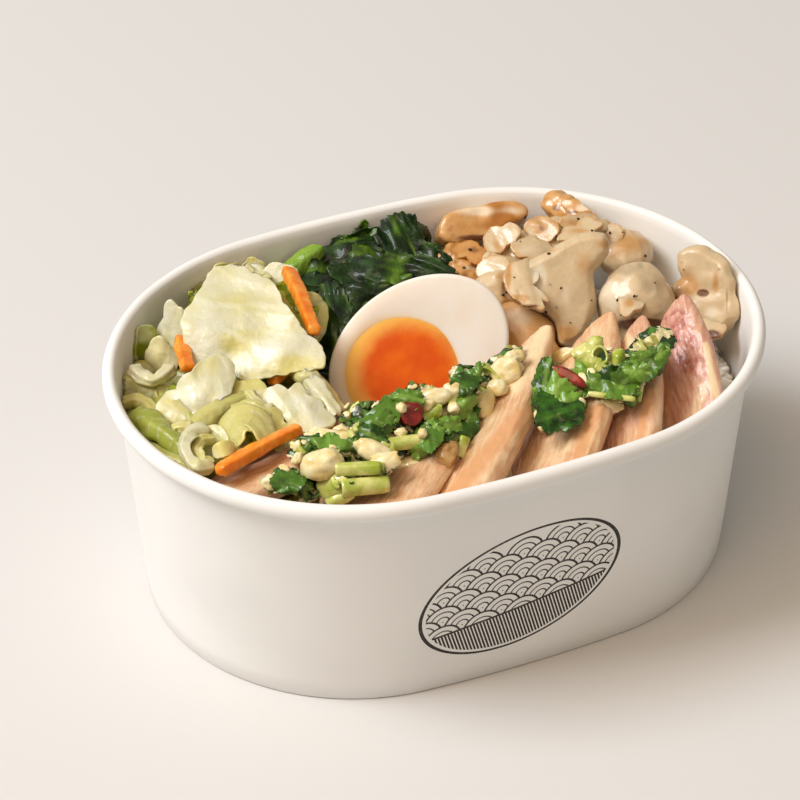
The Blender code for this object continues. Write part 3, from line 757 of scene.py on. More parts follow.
egg_white_finish, egg_yolk_finish = egg_finishes()
white = ball("egg_half", 96, 120, white_shape, EGG_PLACE)
adopt(white, "egg_white", egg_white_finish, "egg_white")
yolk = ball("yolk_half", 96, 64, yolk_shape, EGG_PLACE)
into_egg = EGG_PLACE.inverted()


def yolk_rim_and_painted_light(point):
    """Distance from the yolk's middle as a share of its radius, more at the left as painted light."""
    local = into_egg @ (point * MM)
    left = yolk_left(local)
    return Vector((local.x - YOLK_SHIFT, local.y)).length / YOLK_RADIUS + 0.3 * (left - 0.6)


def white_glow(point):
    """Painted glow of the yolk showing through the white beside it, most on the left."""
    local = into_egg @ (point * MM)
    off = Vector((local.x - YOLK_SHIFT, local.y)).length - YOLK_RADIUS
    left = yolk_left(local)
    return 0.85 * math.exp(-max(off, 0.0) / (0.35 + 1.3 * left * left))


def yolk_left(local):
    """0 at the right of the yolk as pictured, 1 at its left."""
    return 0.5 - 0.5 * (local.x * math.cos(math.radians(EGG_ROLL))
                        - local.y * math.sin(math.radians(EGG_ROLL)) - YOLK_SHIFT) / YOLK_RADIUS


painted(white, glow=white_glow)
painted(yolk, edge=yolk_rim_and_painted_light)
adopt(yolk, "egg_yolk", egg_yolk_finish, "egg_yolk")


# Chicken

# Slices: front end and back end of the crest, lean in degrees, pinkness
SLICES = (
    ((-82.0, -34.0, 61.0), (-12.0, -17.0, 66.0), 76.0, 0.45),
    ((-43.0, -64.0, 62.0), (4.0, -24.0, 68.0), 74.0, 0.35),
    ((-21.0, -66.0, 65.0), (31.5, -8.0, 74.0), 58.0, 0.0),
    ((10.0, -66.5, 64.5), (49.0, -12.0, 76.0), 58.0, 0.1),
    ((33.5, -63.5, 64.5), (56.0, -17.0, 76.0), 52.0, 0.5),
    ((58.5, -55.0, 64.0), (68.0, -18.0, 80.0), 46.0, 0.9),
)
# The slice whose back end is torn
RAGGED_SLICE = 6


def slice_of_chicken(number, start, end, lean, pink):
    """The solid's own slice with lumps, tears and fibres along its length."""
    length = (Vector(end) - Vector(start)).length
    place = seat_along(start, end, lean)
    back = place.inverted()

    item = cad_copy(f"chicken_{number}", f"chicken_slice_{number}", 0.6, 7)

    def relief(point, normal):
        local = back @ (point * MM)
        face = max(0.0, (back.to_3x3() @ normal).normalized().z) ** 2
        fibre = waves((local.x / 7.0, local.y / 1.4, local.z / 3.0), 1.0, number, 4, 0.6)
        tears = creases((local.x, local.y * 2.2, local.z), 13.0, number, 3)
        lumps = waves(point, 15.0, number, 2)
        amount = face * (0.22 * fibre + 0.7 * (tears - 0.5)) + 0.3 * lumps
        if number == RAGGED_SLICE:
            amount += face * 0.4 * waves(point, 2.6, 9, 3, 0.6) * max(0.0, local.x / length - 0.3)
        return point + normal * amount

    moved(item, relief)

    def fibre_line(point):
        local = back @ (point * MM)
        return waves((local.x / 9.0, local.y / 0.9, local.z / 2.0), 1.0, number, 3, 0.6) * 0.5 + 0.5

    def rule(kind):
        own = [mark for mark in CHICKEN_MARKS[number] if mark[0] == kind]
        overall = pink if kind == "pink" else 0.0

        def value(point):
            total = overall * (0.75 + 0.5 * waves(point, 9.0, number + 3, 2))
            return total + sum(m[6] * streak(point, *m[1:6]) for m in own)
        return value

    return painted(item, fibre=fibre_line, **{kind: rule(kind) for kind in CHICKEN_KINDS})


# Colours of each slice as the picture shows them: kind, line from x, y to x, y, width, strength.
# The kind that turns the meat deep brown is painted shade in the gaps between slices; the light
# kind is partly paler meat and partly painted highlights and painted light on faces in shade.
CHICKEN_KINDS = ("pink", "band", "light", "red", "gap_shade")
CHICKEN_MARKS = {
    1: (("pink", 220, 476, 372, 408, 12, 0.75), ("light", 262, 480, 300, 490, 9, 0.7),
        ("light", 340, 415, 372, 402, 5, 0.4), ("band", 240, 480, 360, 425, 16, 0.6)),
    2: (("light", 300, 494, 350, 498, 8, 0.4), ("band", 395, 480, 430, 440, 8, 0.6),
        ("light", 395, 470, 425, 455, 6, 0.5)),
    3: (("light", 455, 452, 492, 410, 13, 0.7), ("light", 515, 385, 546, 332, 15, 1.1),
        ("band", 448, 500, 520, 415, 14, 0.9), ("gap_shade", 500, 478, 524, 425, 4, 0.4),
        ("band", 548, 345, 556, 362, 8, 1.0)),
    4: (("band", 600, 398, 578, 456, 9, 1.1), ("light", 560, 418, 606, 398, 6, 0.5),
        ("light", 520, 468, 570, 440, 16, 0.45), ("gap_shade", 494, 484, 510, 440, 4, 0.4),
        ("light", 596, 345, 612, 372, 12, 0.6)),
    5: (("band", 648, 388, 640, 438, 6, 1.0), ("light", 628, 340, 640, 360, 10, 0.9),
        ("pink", 610, 400, 600, 450, 20, 0.35)),
    6: (("red", 676, 322, 688, 362, 19, 1.3), ("pink", 700, 352, 684, 396, 18, 0.5),
        ("light", 704, 388, 690, 425, 13, 0.6), ("light", 706, 345, 717, 396, 5, 1.1),
        ("band", 666, 380, 672, 428, 7, 0.6), ("gap_shade", 650, 385, 652, 428, 3, 0.5)),
}


def chicken_finish():
    """Pale meat with fine fibres, and the colours painted on each slice, with painted shade between the
    slices and painted highlights.
    """
    finish = Finish("steamed chicken", roughness=0.38, base_color="#E3BC94", subsurface_weight=0.25,
                    subsurface_radius=(0.0035, 0.0018, 0.0011), coat_weight=0.35, coat_roughness=0.12)
    finish.put("Subsurface Scale", 1.0)
    fibre = finish.mark("fibre")
    patches = finish.clouds(7, 4, 0.55)
    uneven = (patches - 0.5) * 0.35
    meat = finish.mix(fibre.step(0.3, 0.75), "#D5A478", "#E0BB90")
    meat = finish.mix(patches.step(0.45, 0.75) * 0.4, meat, "#F6DDB8")
    rosy = finish.mix(fibre.step(0.25, 0.8), "#C8907A", "#D9AA90")
    meat = finish.mix((finish.mark("pink") + uneven).step(0.1, 0.9), meat, rosy)
    meat = finish.mix((finish.mark("band") + uneven).step(0.2, 0.8), meat, "#D9A272")
    # Partly paler meat, partly painted highlights and painted light on faces in shade
    meat = finish.mix((finish.mark("light") + uneven).step(0.1, 0.9) * 0.9, meat, "#EED3A8")
    red = finish.mix(finish.clouds(2.4, 4, 0.6).step(0.35, 0.65), "#A85F50", "#D39A84")
    meat = finish.mix((finish.mark("red") + uneven).step(0.2, 0.9), meat, red)
    # Painted shade: deep brown in the gaps between slices
    finish.put("Base Color", finish.mix((finish.mark("gap_shade") + uneven).step(0.2, 1.0), meat, "#8A4526"))
    finish.put("Roughness", 0.3 + patches * 0.25)
    fine = finish.clouds(0.55, 4, 0.65)
    rough = (1 - finish.mark("band").step(0.1, 0.7)) * fibre
    finish.put("Normal", finish.bump(fine, 0.1, 0.6, finish.bump(rough, 0.3, 0.6)))
    return finish


chicken = chicken_finish()
slices = []
for number, spec in enumerate(SLICES, 1):
    piece = slice_of_chicken(number, *spec)
    slices.append(adopt(piece, "chicken", chicken, f"chicken_{number}"))


# Leaves

def leaf(name, place, size, cup, folds, crumple, ruffle, thick, seed, grid, ragged):
    """A thin crumpled leaf.

    cup bows it both ways, folds are broad waves and crumple fine ones, ruffle waves the edge and
    ragged is how far the outline is torn.
    """
    length, width = size
    dice = random.Random(seed)
    fold_phase = [dice.uniform(0, math.tau) for _ in range(4)]
    way = dice.uniform(0, math.pi)

    def shape(s, t):
        x = s * math.sqrt(1 - 0.42 * t * t)
        y = t * math.sqrt(1 - 0.42 * s * s)
        angle = math.atan2(y, x)
        reach = min(1.0, math.hypot(x, y))
        tear = 1 + ragged * (math.sin(5 * angle + fold_phase[0])
                             + 0.6 * math.sin(11 * angle + fold_phase[1])
                             + 0.5 * math.sin(23 * angle + fold_phase[2]))
        px, py = x * length / 2 * tear, y * width / 2 * tear
        along = px * math.cos(way) + py * math.sin(way)
        height = -cup[0] * x * x - cup[1] * y * y
        height += folds[0] * math.sin(math.pi * folds[1] * along / (length / 2) + fold_phase[3])
        height += crumple[0] * waves((px, py, seed * 13.0), crumple[1], seed, 3, 0.45)
        height += ruffle[0] * reach ** 4 * math.sin(ruffle[1] * angle + fold_phase[1])
        return px, py, height

    item = sheet_of(name, grid[0], grid[1], shape, place)
    pressed_inside(item, LEAF_CLEAR)
    into = place.inverted()

    def vein(point):
        local = into @ (point * MM)
        u, v = local.x / (length / 2), local.y / (width / 2)
        rib = math.exp(-(v * width / 2 / 0.9) ** 2)
        side = abs(math.sin((u * 1.1 + abs(v) * 0.8) * 7.0)) ** 18
        return min(1.0, rib + 0.7 * side * (1 - abs(v)))

    painted(item, vein=vein)
    return thickened(item, thick)


def tinted(item, value):
    """Gives every point the same tint."""
    layer = item.data.attributes.new("tint", "FLOAT", "POINT")
    layer.data.foreach_set("value", [value] * len(item.data.vertices))
    return item


def outline_leaf(name, drawn, height, slope, folds, bumps, ruffle, thick, seed, grid, bend,
                 tear=0.006):
    """A leaf whose outline is drawn in picture points.

    slope tilts it, folds are long creases across the bend, bumps are broad swells, ruffle waves
    the edge, bend curves it like a trough turned over, around a direction in degrees, and tear is
    how far the edge is torn.
    """
    middle = middle_of(drawn)
    place = in_view(middle[0], middle[1], height)
    scale = FOCAL / (EYE - seen(middle[0], middle[1], height)).length
    rays = sorted((math.atan2(middle[1] - y, x - middle[0]),
                   math.hypot(x - middle[0], y - middle[1]) / scale) for x, y in drawn)
    rays = [(rays[-1][0] - math.tau, rays[-1][1])] + rays + [(rays[0][0] + math.tau, rays[0][1])]
    size = sum(r for _, r in rays) / len(rays)
    dice = random.Random(seed)
    phases = [dice.uniform(0, math.tau) for _ in range(5)]
    way = Vector((math.cos(math.radians(bend[0])), math.sin(math.radians(bend[0]))))

    def reach(angle):
        for (a, one), (b, two) in zip(rays, rays[1:]):
            if angle <= b:
                part = (angle - a) / (b - a)
                part = part * part * (3 - 2 * part)
                return one + (two - one) * part
        return rays[-1][1]

    def shape(s, t):
        x = s * math.sqrt(1 - 0.5 * t * t)
        y = t * math.sqrt(1 - 0.5 * s * s)
        part, angle = min(1.0, math.hypot(x, y)), math.atan2(y, x)
        edge = reach(angle)
        wave = math.sin(angle * ruffle[1] + phases[0]) + 0.5 * math.sin(angle * ruffle[1] * 2 + phases[1])
        teeth = math.sin(angle * 11 + phases[2]) + math.sin(angle * 27 + phases[3])
        torn = 1 + part ** 4 * tear * teeth
        px, py = part * edge * math.cos(angle) * torn, part * edge * math.sin(angle) * torn
        along, across = px * way.x + py * way.y, py * way.x - px * way.y
        depth = slope[0] * px + slope[1] * py - bend[1] * (along / size) ** 2
        depth += folds[0] * (creases((along, across * 0.35, seed * 11.0), folds[1], seed, 2) - 0.5) * 2
        depth += bumps[0] * waves((px, py, seed * 11.0), bumps[1], seed, 2, 0.35)
        depth += 0.1 * waves((along, across * 0.5, seed * 3.0), 1.6, seed + 5, 2, 0.5)
        depth += ruffle[0] * part ** 4 * wave
        return px, py, depth

    item = sheet_of(name, grid, grid, shape, place)
    pressed_inside(item, EDGE_CLEAR + thick / 2)
    into = place.inverted()

    def rim(point):
        local = into @ (point * MM)
        return math.hypot(local.x, local.y) / max(reach(math.atan2(local.y, local.x)), 0.1)

    def vein(point):
        local = into @ (point * MM)
        along, across = local.x * way.x + local.y * way.y, local.y * way.x - local.x * way.y
        return max(0.0, creases((along, across * 0.3, seed), 7.0, seed + 2, 2) - 0.3)

    painted(item, rim=rim, vein=vein)
    return thickened(item, thick)


def smooth_path(points, share):
    """Point of a smooth curve through the points, share from 0 to 1."""
    last = len(points) - 1
    at = min(share * last, last - 1e-6)
    k = int(at)
    part = at - k
    a, b, c, d = (Vector(points[min(max(k + step, 0), last)]) for step in (-1, 0, 1, 2))
    return 0.5 * (2 * b + (c - a) * part + (2 * a - 5 * b + 4 * c - d) * part ** 2
                  + (3 * b - a - 3 * c + d) * part ** 3)


def ribbon(name, path, width, thick, cup, twist, seed, grid=(46, 12), rib=0.0):
    """A strip along a curve in millimetres.

    cup curves it across, twist turns it from one angle in degrees to another and rib raises its
    middle line.
    """
    dice = random.Random(seed)
    phase = [dice.uniform(0, math.tau) for _ in range(4)]

    def shape(s, t):
        share = (s + 1) / 2
        middle = smooth_path(path, share)
        ahead = smooth_path(path, min(share + 0.02, 1.0)) - smooth_path(path, max(share - 0.02, 0.0))
        ahead.normalize()
        face = (BACK - ahead * BACK.dot(ahead)).normalized()
        turn = math.radians(twist[0] + (twist[1] - twist[0]) * share)
        side = ahead.cross(face)
        across = side * math.cos(turn) + face * math.sin(turn)
        out = face * math.cos(turn) - side * math.sin(turn)
        end = min(1.0, (1 - abs(s)) * 5 + 0.25) ** 0.5
        uneven = 0.2 * math.sin(5 * share + phase[0]) + 0.09 * math.sin(13 * share + phase[1])
        half = width / 2 * end * (1 + uneven) * (1 + 0.05 * math.sin(29 * share + phase[3]))
        lift = -cup * t * t + rib * math.exp(-(t * 2.6) ** 2)
        lift += 0.1 * math.sin(9 * t + phase[3] + share) + 0.6 * waves(middle, 6.0, seed, 2)
        lift += 0.6 * t * t * math.sin(7 * share + phase[2] + 1.5 * t)
        return middle + across * (half * t) + out * lift

    item = sheet_of(name, grid[0], grid[1], shape, scaled(Matrix.Identity(4)))
    pressed_inside(item, EDGE_CLEAR + thick / 2)
    painted(item, vein=lambda p: max(0.0, creases(p, 5.0, seed, 2) - 0.55))
    return thickened(item, thick)


def drawn_path(points):
    """A curve from picture points with a height each."""
    return [tuple(seen(px, py, height)) for px, py, height in points]


# Mushrooms

def mushroom_finish(name, cream, tan, brown, gloss):
    """Pale flesh, tan where the skin or the pan coloured it, brown where it is marked; tan and brown also
    carry painted shade in creases, on shaded sides and undersides, and the pale marks carry painted
    highlights.
    """
    finish = Finish(name, roughness=gloss, base_color=cream, subsurface_weight=0.2,
                    subsurface_radius=(0.0035, 0.002, 0.0012), coat_weight=0.35, coat_roughness=0.08)
    finish.put("Subsurface Scale", 1.0)
    broad = finish.clouds(7, 3, 0.5)
    fine = finish.clouds(1.6, 4, 0.6)
    light = finish.mark("pale")
    edge = finish.mark("rim").step(0.75, 1.0) * 0.5
    # Tan: the skin's and pan's colour, with painted shade in creases and on shaded sides
    tan_and_shade = (finish.mark("tan") + edge - light * 0.6 + (broad - 0.5) * 0.6).step(0.15, 0.95)
    colour = finish.mix(fine.step(0.35, 0.75) * 0.25, cream, tan)
    # Pale marks: paler flesh, partly painted highlights
    colour = finish.mix(light.step(0.1, 0.9) * 0.75, colour, "#ECDDC2")
    colour = finish.mix(tan_and_shade, colour, tan)
    mottled = (finish.mark("grey") * (0.5 + finish.clouds(2.6, 3, 0.6))).step(0.15, 0.85)
    colour = finish.mix(mottled * 0.75, colour, "#A89478")
    # Brown: marks and browning, with painted shade in creases and on undersides
    browned = (finish.mark("brown") + (fine - 0.5) * 0.5 + (broad - 0.5) * 0.3).step(0.3, 0.95)
    finish.put("Base Color", finish.mix(browned, colour, brown))
    finish.put("Roughness", gloss - 0.06 + fine * 0.16)
    finish.put("Normal", finish.bump(fine, 0.22, 0.6, finish.bump(finish.clouds(0.5, 3, 0.6), 0.05, 0.5)))
    return finish


pale = mushroom_finish("mushroom flesh", "#D3BC96", "#C2935A", "#6A3C18", 0.34)
toasted = mushroom_finish("browned mushroom", "#D2A063", "#B57630", "#63330E", 0.28)
# Each mushroom: finish, slot, size and depth of the uneven skin, tan overall, then its marks as
# the picture shows them: kind, x, y, reach across and down, strength. The tan and brown marks are
# partly the mushroom's own colour and partly painted shade on sides and undersides, the pale marks
# partly paler flesh and partly painted highlights.
MUSHROOMS = {
    1: (toasted, "browned_mushroom", (9.0, 0.6), 0.2,
        (("pale", 490, 211, 46, 7, 1.3), ("tan", 490, 226, 45, 6, 0.4), ("brown", 480, 238, 44, 6, 1.1),
         ("brown", 527, 217, 5, 4, 1.0), ("brown", 450, 228, 8, 8, 0.6))),
    2: (toasted, "browned_mushroom", (4.5, 1.3), 0.5,
        (("brown", 475, 250, 14, 8, 0.7), ("pale", 470, 268, 14, 3, 0.7), ("brown", 487, 256, 5, 6, 0.8),
         ("brown", 455, 262, 6, 6, 0.6))),
    3: (pale, "mushroom", (7.0, 1.6), 0.15,
        (("tan", 541, 229, 9, 9, 1.0), ("brown", 541, 229, 6, 6, 0.35), ("tan", 580, 231, 18, 4, 0.7),
         ("pale", 510, 235, 14, 10, 0.6), ("pale", 530, 250, 22, 8, 0.5), ("tan", 500, 248, 8, 5, 0.5),
         ("brown", 508, 249, 4, 3, 0.5), ("tan", 570, 222, 14, 5, 0.5), ("pale", 490, 270, 10, 8, 0.7))),
    4: (toasted, "browned_mushroom", (5.0, 1.0), 0.15,
        (("brown", 556, 208, 7, 6, 0.9), ("pale", 582, 208, 10, 7, 0.9), ("brown", 574, 212, 12, 3, 0.9),
         ("brown", 596, 228, 8, 4, 0.7), ("tan", 565, 216, 8, 5, 0.6))),
    5: (pale, "mushroom", (14.0, 0.7), 0.05,
        (("tan", 508, 276, 4, 16, 1.5), ("tan", 520, 298, 14, 5, 1.3), ("pale", 540, 278, 9, 20, 1.5),
         ("brown", 504, 292, 4, 10, 0.8), ("tan", 584, 262, 18, 18, 0.75), ("tan", 566, 332, 20, 12, 1.0),
         ("tan", 604, 245, 12, 8, 0.9), ("brown", 558, 347, 18, 3, 1.1), ("pale", 566, 296, 8, 18, 0.6),
         ("tan", 545, 250, 18, 4, 1.0), ("brown", 596, 300, 4, 26, 0.6),
         ("brown", 530, 306, 16, 3, 1.0))),
    6: (pale, "mushroom", (11.0, 1.2), 0.0,
        (("grey", 628, 270, 20, 10, 0.8), ("grey", 650, 285, 16, 16, 0.7), ("pale", 606, 292, 9, 20, 1.7),
         ("tan", 630, 303, 8, 7, 0.9), ("brown", 645, 324, 30, 7, 2.2), ("brown", 637, 296, 3, 1.4, 1.2),
         ("grey", 640, 265, 5, 4, 0.8), ("pale", 614, 306, 6, 8, 0.9))),
    7: (pale, "mushroom", (9.0, 1.1), 0.1,
        (("brown", 703, 293, 8, 5, 2.2), ("brown", 712, 334, 12, 6, 1.5), ("tan", 690, 285, 14, 14, 1.1),
         ("brown", 678, 290, 10, 16, 0.6), ("brown", 727, 300, 3, 30, 0.7),
         ("tan", 716, 282, 5, 22, 0.9), ("brown", 682, 262, 4, 3, 0.5), ("pale", 712, 312, 12, 9, 1.0),
         ("pale", 670, 262, 10, 8, 0.9), ("grey", 700, 302, 10, 5, 0.6), ("brown", 690, 298, 8, 3, 0.5))),
    8: (pale, "mushroom", (10.0, 0.8), 0.3,
        (("tan", 628, 245, 18, 14, 0.5), ("pale", 612, 228, 10, 6, 0.5),
         ("brown", 612, 232, 10, 3, 0.5))),
    9: (toasted, "browned_mushroom", (12.0, 0.5), 0.0,
        (("brown", 530, 304, 18, 3, 0.9), ("pale", 518, 318, 24, 18, 0.75))),
    10: (pale, "mushroom", (6.0, 1.3), 0.2,
         (("tan", 500, 276, 10, 6, 0.6), ("pale", 486, 268, 10, 6, 0.8))),
}
# Torn pieces that lie over the mushrooms: mushroom, outline in the picture, height over what they
# lie on, slope, bend, thickness
TORN = (
    (3, ((484, 240), (490, 229), (503, 227), (512, 223), (521, 230), (517, 241), (508, 246), (498, 254),
     (489, 252)), 0.6, (0.5, -0.3), (30, 0.7), 1.4),
    (3, ((510, 246), (524, 238), (540, 241), (551, 245), (557, 252), (543, 260), (527, 259),
     (515, 256)), 0.6, (-0.3, -0.9), (120, 0.8), 1.3),
    (3, ((524, 226), (535, 218), (551, 219), (560, 229), (553, 240), (540, 244), (529, 236)), 0.8,
     (0.3, -0.3), (70, 0.9), 1.4),
    (3, ((556, 241), (561, 233), (576, 227), (597, 221), (604, 224), (595, 232), (580, 235),
     (566, 242)), 1.4, (0.1, -0.9), (100, 0.6), 1.4),
    (3, ((558, 222), (576, 215), (598, 217), (612, 225), (602, 233), (584, 230), (566, 232)), 0.6,
     (-0.3, -0.3), (20, 0.6), 1.2),
    (10, ((476, 272), (483, 260), (495, 256), (509, 261), (512, 271), (503, 281), (492, 285),
     (481, 280)), 0.4, (0.5, -0.4), (60, 0.7), 1.4),
    (10, ((488, 256), (503, 251), (520, 255), (527, 263), (516, 269), (499, 265)), 0.5, (-0.2, -0.9),
     (110, 0.6), 1.3),
    (5, ((504, 276), (509, 265), (520, 261), (533, 258), (541, 262), (538, 274), (533, 286), (539, 297),
     (548, 306), (545, 311), (532, 309), (517, 302), (507, 292)), 1.0, (-0.1, -0.6), (10, 1.2), 1.8),
    (6, ((622, 294), (632, 291), (641, 298), (644, 306), (634, 312), (624, 318), (620, 306)), 0.2,
     (0.1, -0.9), (20, 1.0), 1.6),
    (7, ((700, 322), (708, 318), (722, 318), (726, 328), (718, 338), (706, 338)), 0.2, (0.1, -0.8),
     (40, 1.2), 2.0),
    (4, ((562, 202), (572, 200), (584, 206), (592, 218), (588, 226), (576, 220), (566, 210)), 0.5,
     (0.3, -0.3), (40, 0.8), 1.6),
    (8, ((600, 236), (606, 226), (616, 224), (624, 232), (620, 242), (608, 244)), 0.5, (0.3, -0.3),
     (40, 0.8), 1.3),
    (2, ((448, 248), (462, 243), (480, 246), (490, 256), (484, 262), (466, 258), (452, 256)), 0.5,
     (0.1, -0.8), (80, 0.7), 1.2),
)
KINDS = ("tan", "brown", "grey", "pale")
# The mushroom whose creases get no painted brown shade; grid and torn edge of the torn pieces, and
# their height where the line of view meets nothing
NO_BROWN_CREASE_SHADE_MUSHROOM = 1
TORN_GRID = 34
TORN_EDGE = 0.012
HEIGHT_WITHOUT_HIT = 68.0


def mushroom(number):
    """The solid's own mushroom with an uneven skin, its marks and the torn pieces on it."""
    finish, slot_name, (size, depth), tan, marks = MUSHROOMS[number]
    item = cad_copy(f"mushroom_{number}", f"mushroom_piece_{number}", 0.6, 3)
    # Strength of the painted brown shade in the creases
    crease_shade = 0.0 if number == NO_BROWN_CREASE_SHADE_MUSHROOM else 1.2

    def folds(point):
        return creases(point, size * 1.6, number + 4, 2)

    def relief(point, normal):
        amount = depth * waves(point, size, number, 2, 0.35)
        return point + normal * (amount - 0.5 * depth * (folds(point) - 0.5))

    moved(item, relief)

    def rule(kind):
        own = [mark for mark in marks if mark[0] == kind]

        def value(point):
            total = 0.0
            if kind == "tan":
                total = tan + 0.25 * waves(point, 6.0, number + 20, 2)
                # Painted shade: creases turn tan
                total += 1.2 * max(0.0, 0.42 - folds(point))
            if kind == "brown":
                # Painted shade: creases turn brown
                total = crease_shade * max(0.0, 0.34 - folds(point))
            return total + sum(m[5] * spot(point, m[1], m[2], m[3], m[4]) for m in own)
        return value

    painted(item, **{kind: rule(kind) for kind in KINDS})
    extra = [torn_piece(item, k, rule) for k, spec in enumerate(TORN) if spec[0] == number]
    if extra:
        item = joined([item] + extra, item.name)
    return adopt(item, slot_name, finish, f"mushroom_{number}")


def torn_piece(under, k, rule):
    """A thick torn sheet on the mushroom below it."""
    _, drawn, over, slope, bend, thick = TORN[k]
    hit = tree_of(under).ray_cast(EYE * MM, sight(*middle_of(drawn)))[0]
    height = hit.z / MM + over if hit else HEIGHT_WITHOUT_HIT
    sheet = outline_leaf(f"torn_{k}", drawn, height, slope, (0.3, 7.0), (0.35, 7.0), (0.15, 2), thick,
                         k + 11, TORN_GRID, bend, TORN_EDGE)
    applied(sheet, "SMOOTH", factor=0.5, iterations=2)
    return painted(sheet, **{kind: rule(kind) for kind in KINDS})


mushroom_pieces = [mushroom(number) for number in MUSHROOMS]


# Cabbage

def cabbage_finish():
    """From cream through yellow to green by tint, with painted shade low in the box: yellower, and dark
    olive deeper down.
    """
    finish = Finish("soft cabbage", roughness=0.36, base_color="#E8DFA8", subsurface_weight=0.4,
                    subsurface_radius=(0.004, 0.0035, 0.001), coat_weight=0.3, coat_roughness=0.08)
    finish.put("Subsurface Scale", 1.0)
    broad = finish.clouds(9, 3, 0.5)
    height = finish.axes()[2]
    # Painted shade: lower points turn yellower and greener
    low = (66.0 - height) * 0.03
    tint = finish.mark("tint") + low.largest(0.0) + (broad - 0.5) * 0.5
    colour = finish.mix(tint.step(0.0, 0.42), "#DFDABC", "#D2C676")
    colour = finish.mix(tint.step(0.4, 1.0), colour, "#87951C")
    colour = finish.mix(finish.mark("vein").step(0.1, 0.6) * 0.4, colour, "#F3EFD2")
    # Painted shade: dark olive deep in the box, below the leaves
    deep = ((64.5 - height) * 0.16 + (broad - 0.5) * 0.8).step(0.1, 1.0)
    finish.put("Base Color", finish.mix(deep * 0.8, colour, "#77700F"))
    fine = finish.clouds(1.8, 4, 0.6)
    finish.put("Roughness", 0.28 + fine * 0.25)
    soft = finish.clouds(5.5, 2, 0.4)
    veins = finish.bump(finish.mark("vein"), 0.35, 0.5)
    finish.put("Normal", finish.bump(fine, 0.4, 0.6, finish.bump(soft, 1.2, 0.5, veins)))
    return finish


# The heart lies below the leaves: how far its skin goes in, and all of it down
HEART_INSET = 3.2
HEART_DROP = Vector((0, 0, -1.5))

cabbage = cabbage_finish()
heart = cad_copy("cabbage", "cabbage_heart", 1.1, 4)
moved(heart, lambda p, n: p + n * (1.4 * (creases(p, 7.0, 3, 3) - 0.5) - HEART_INSET) + HEART_DROP)
# The heart shows in the gaps between leaves; its olive green is partly painted shade
painted(heart, tint=lambda p: 0.8 + 0.5 * waves(p, 14.0, 5, 2))
adopt(heart, "cabbage", cabbage, "cabbage")

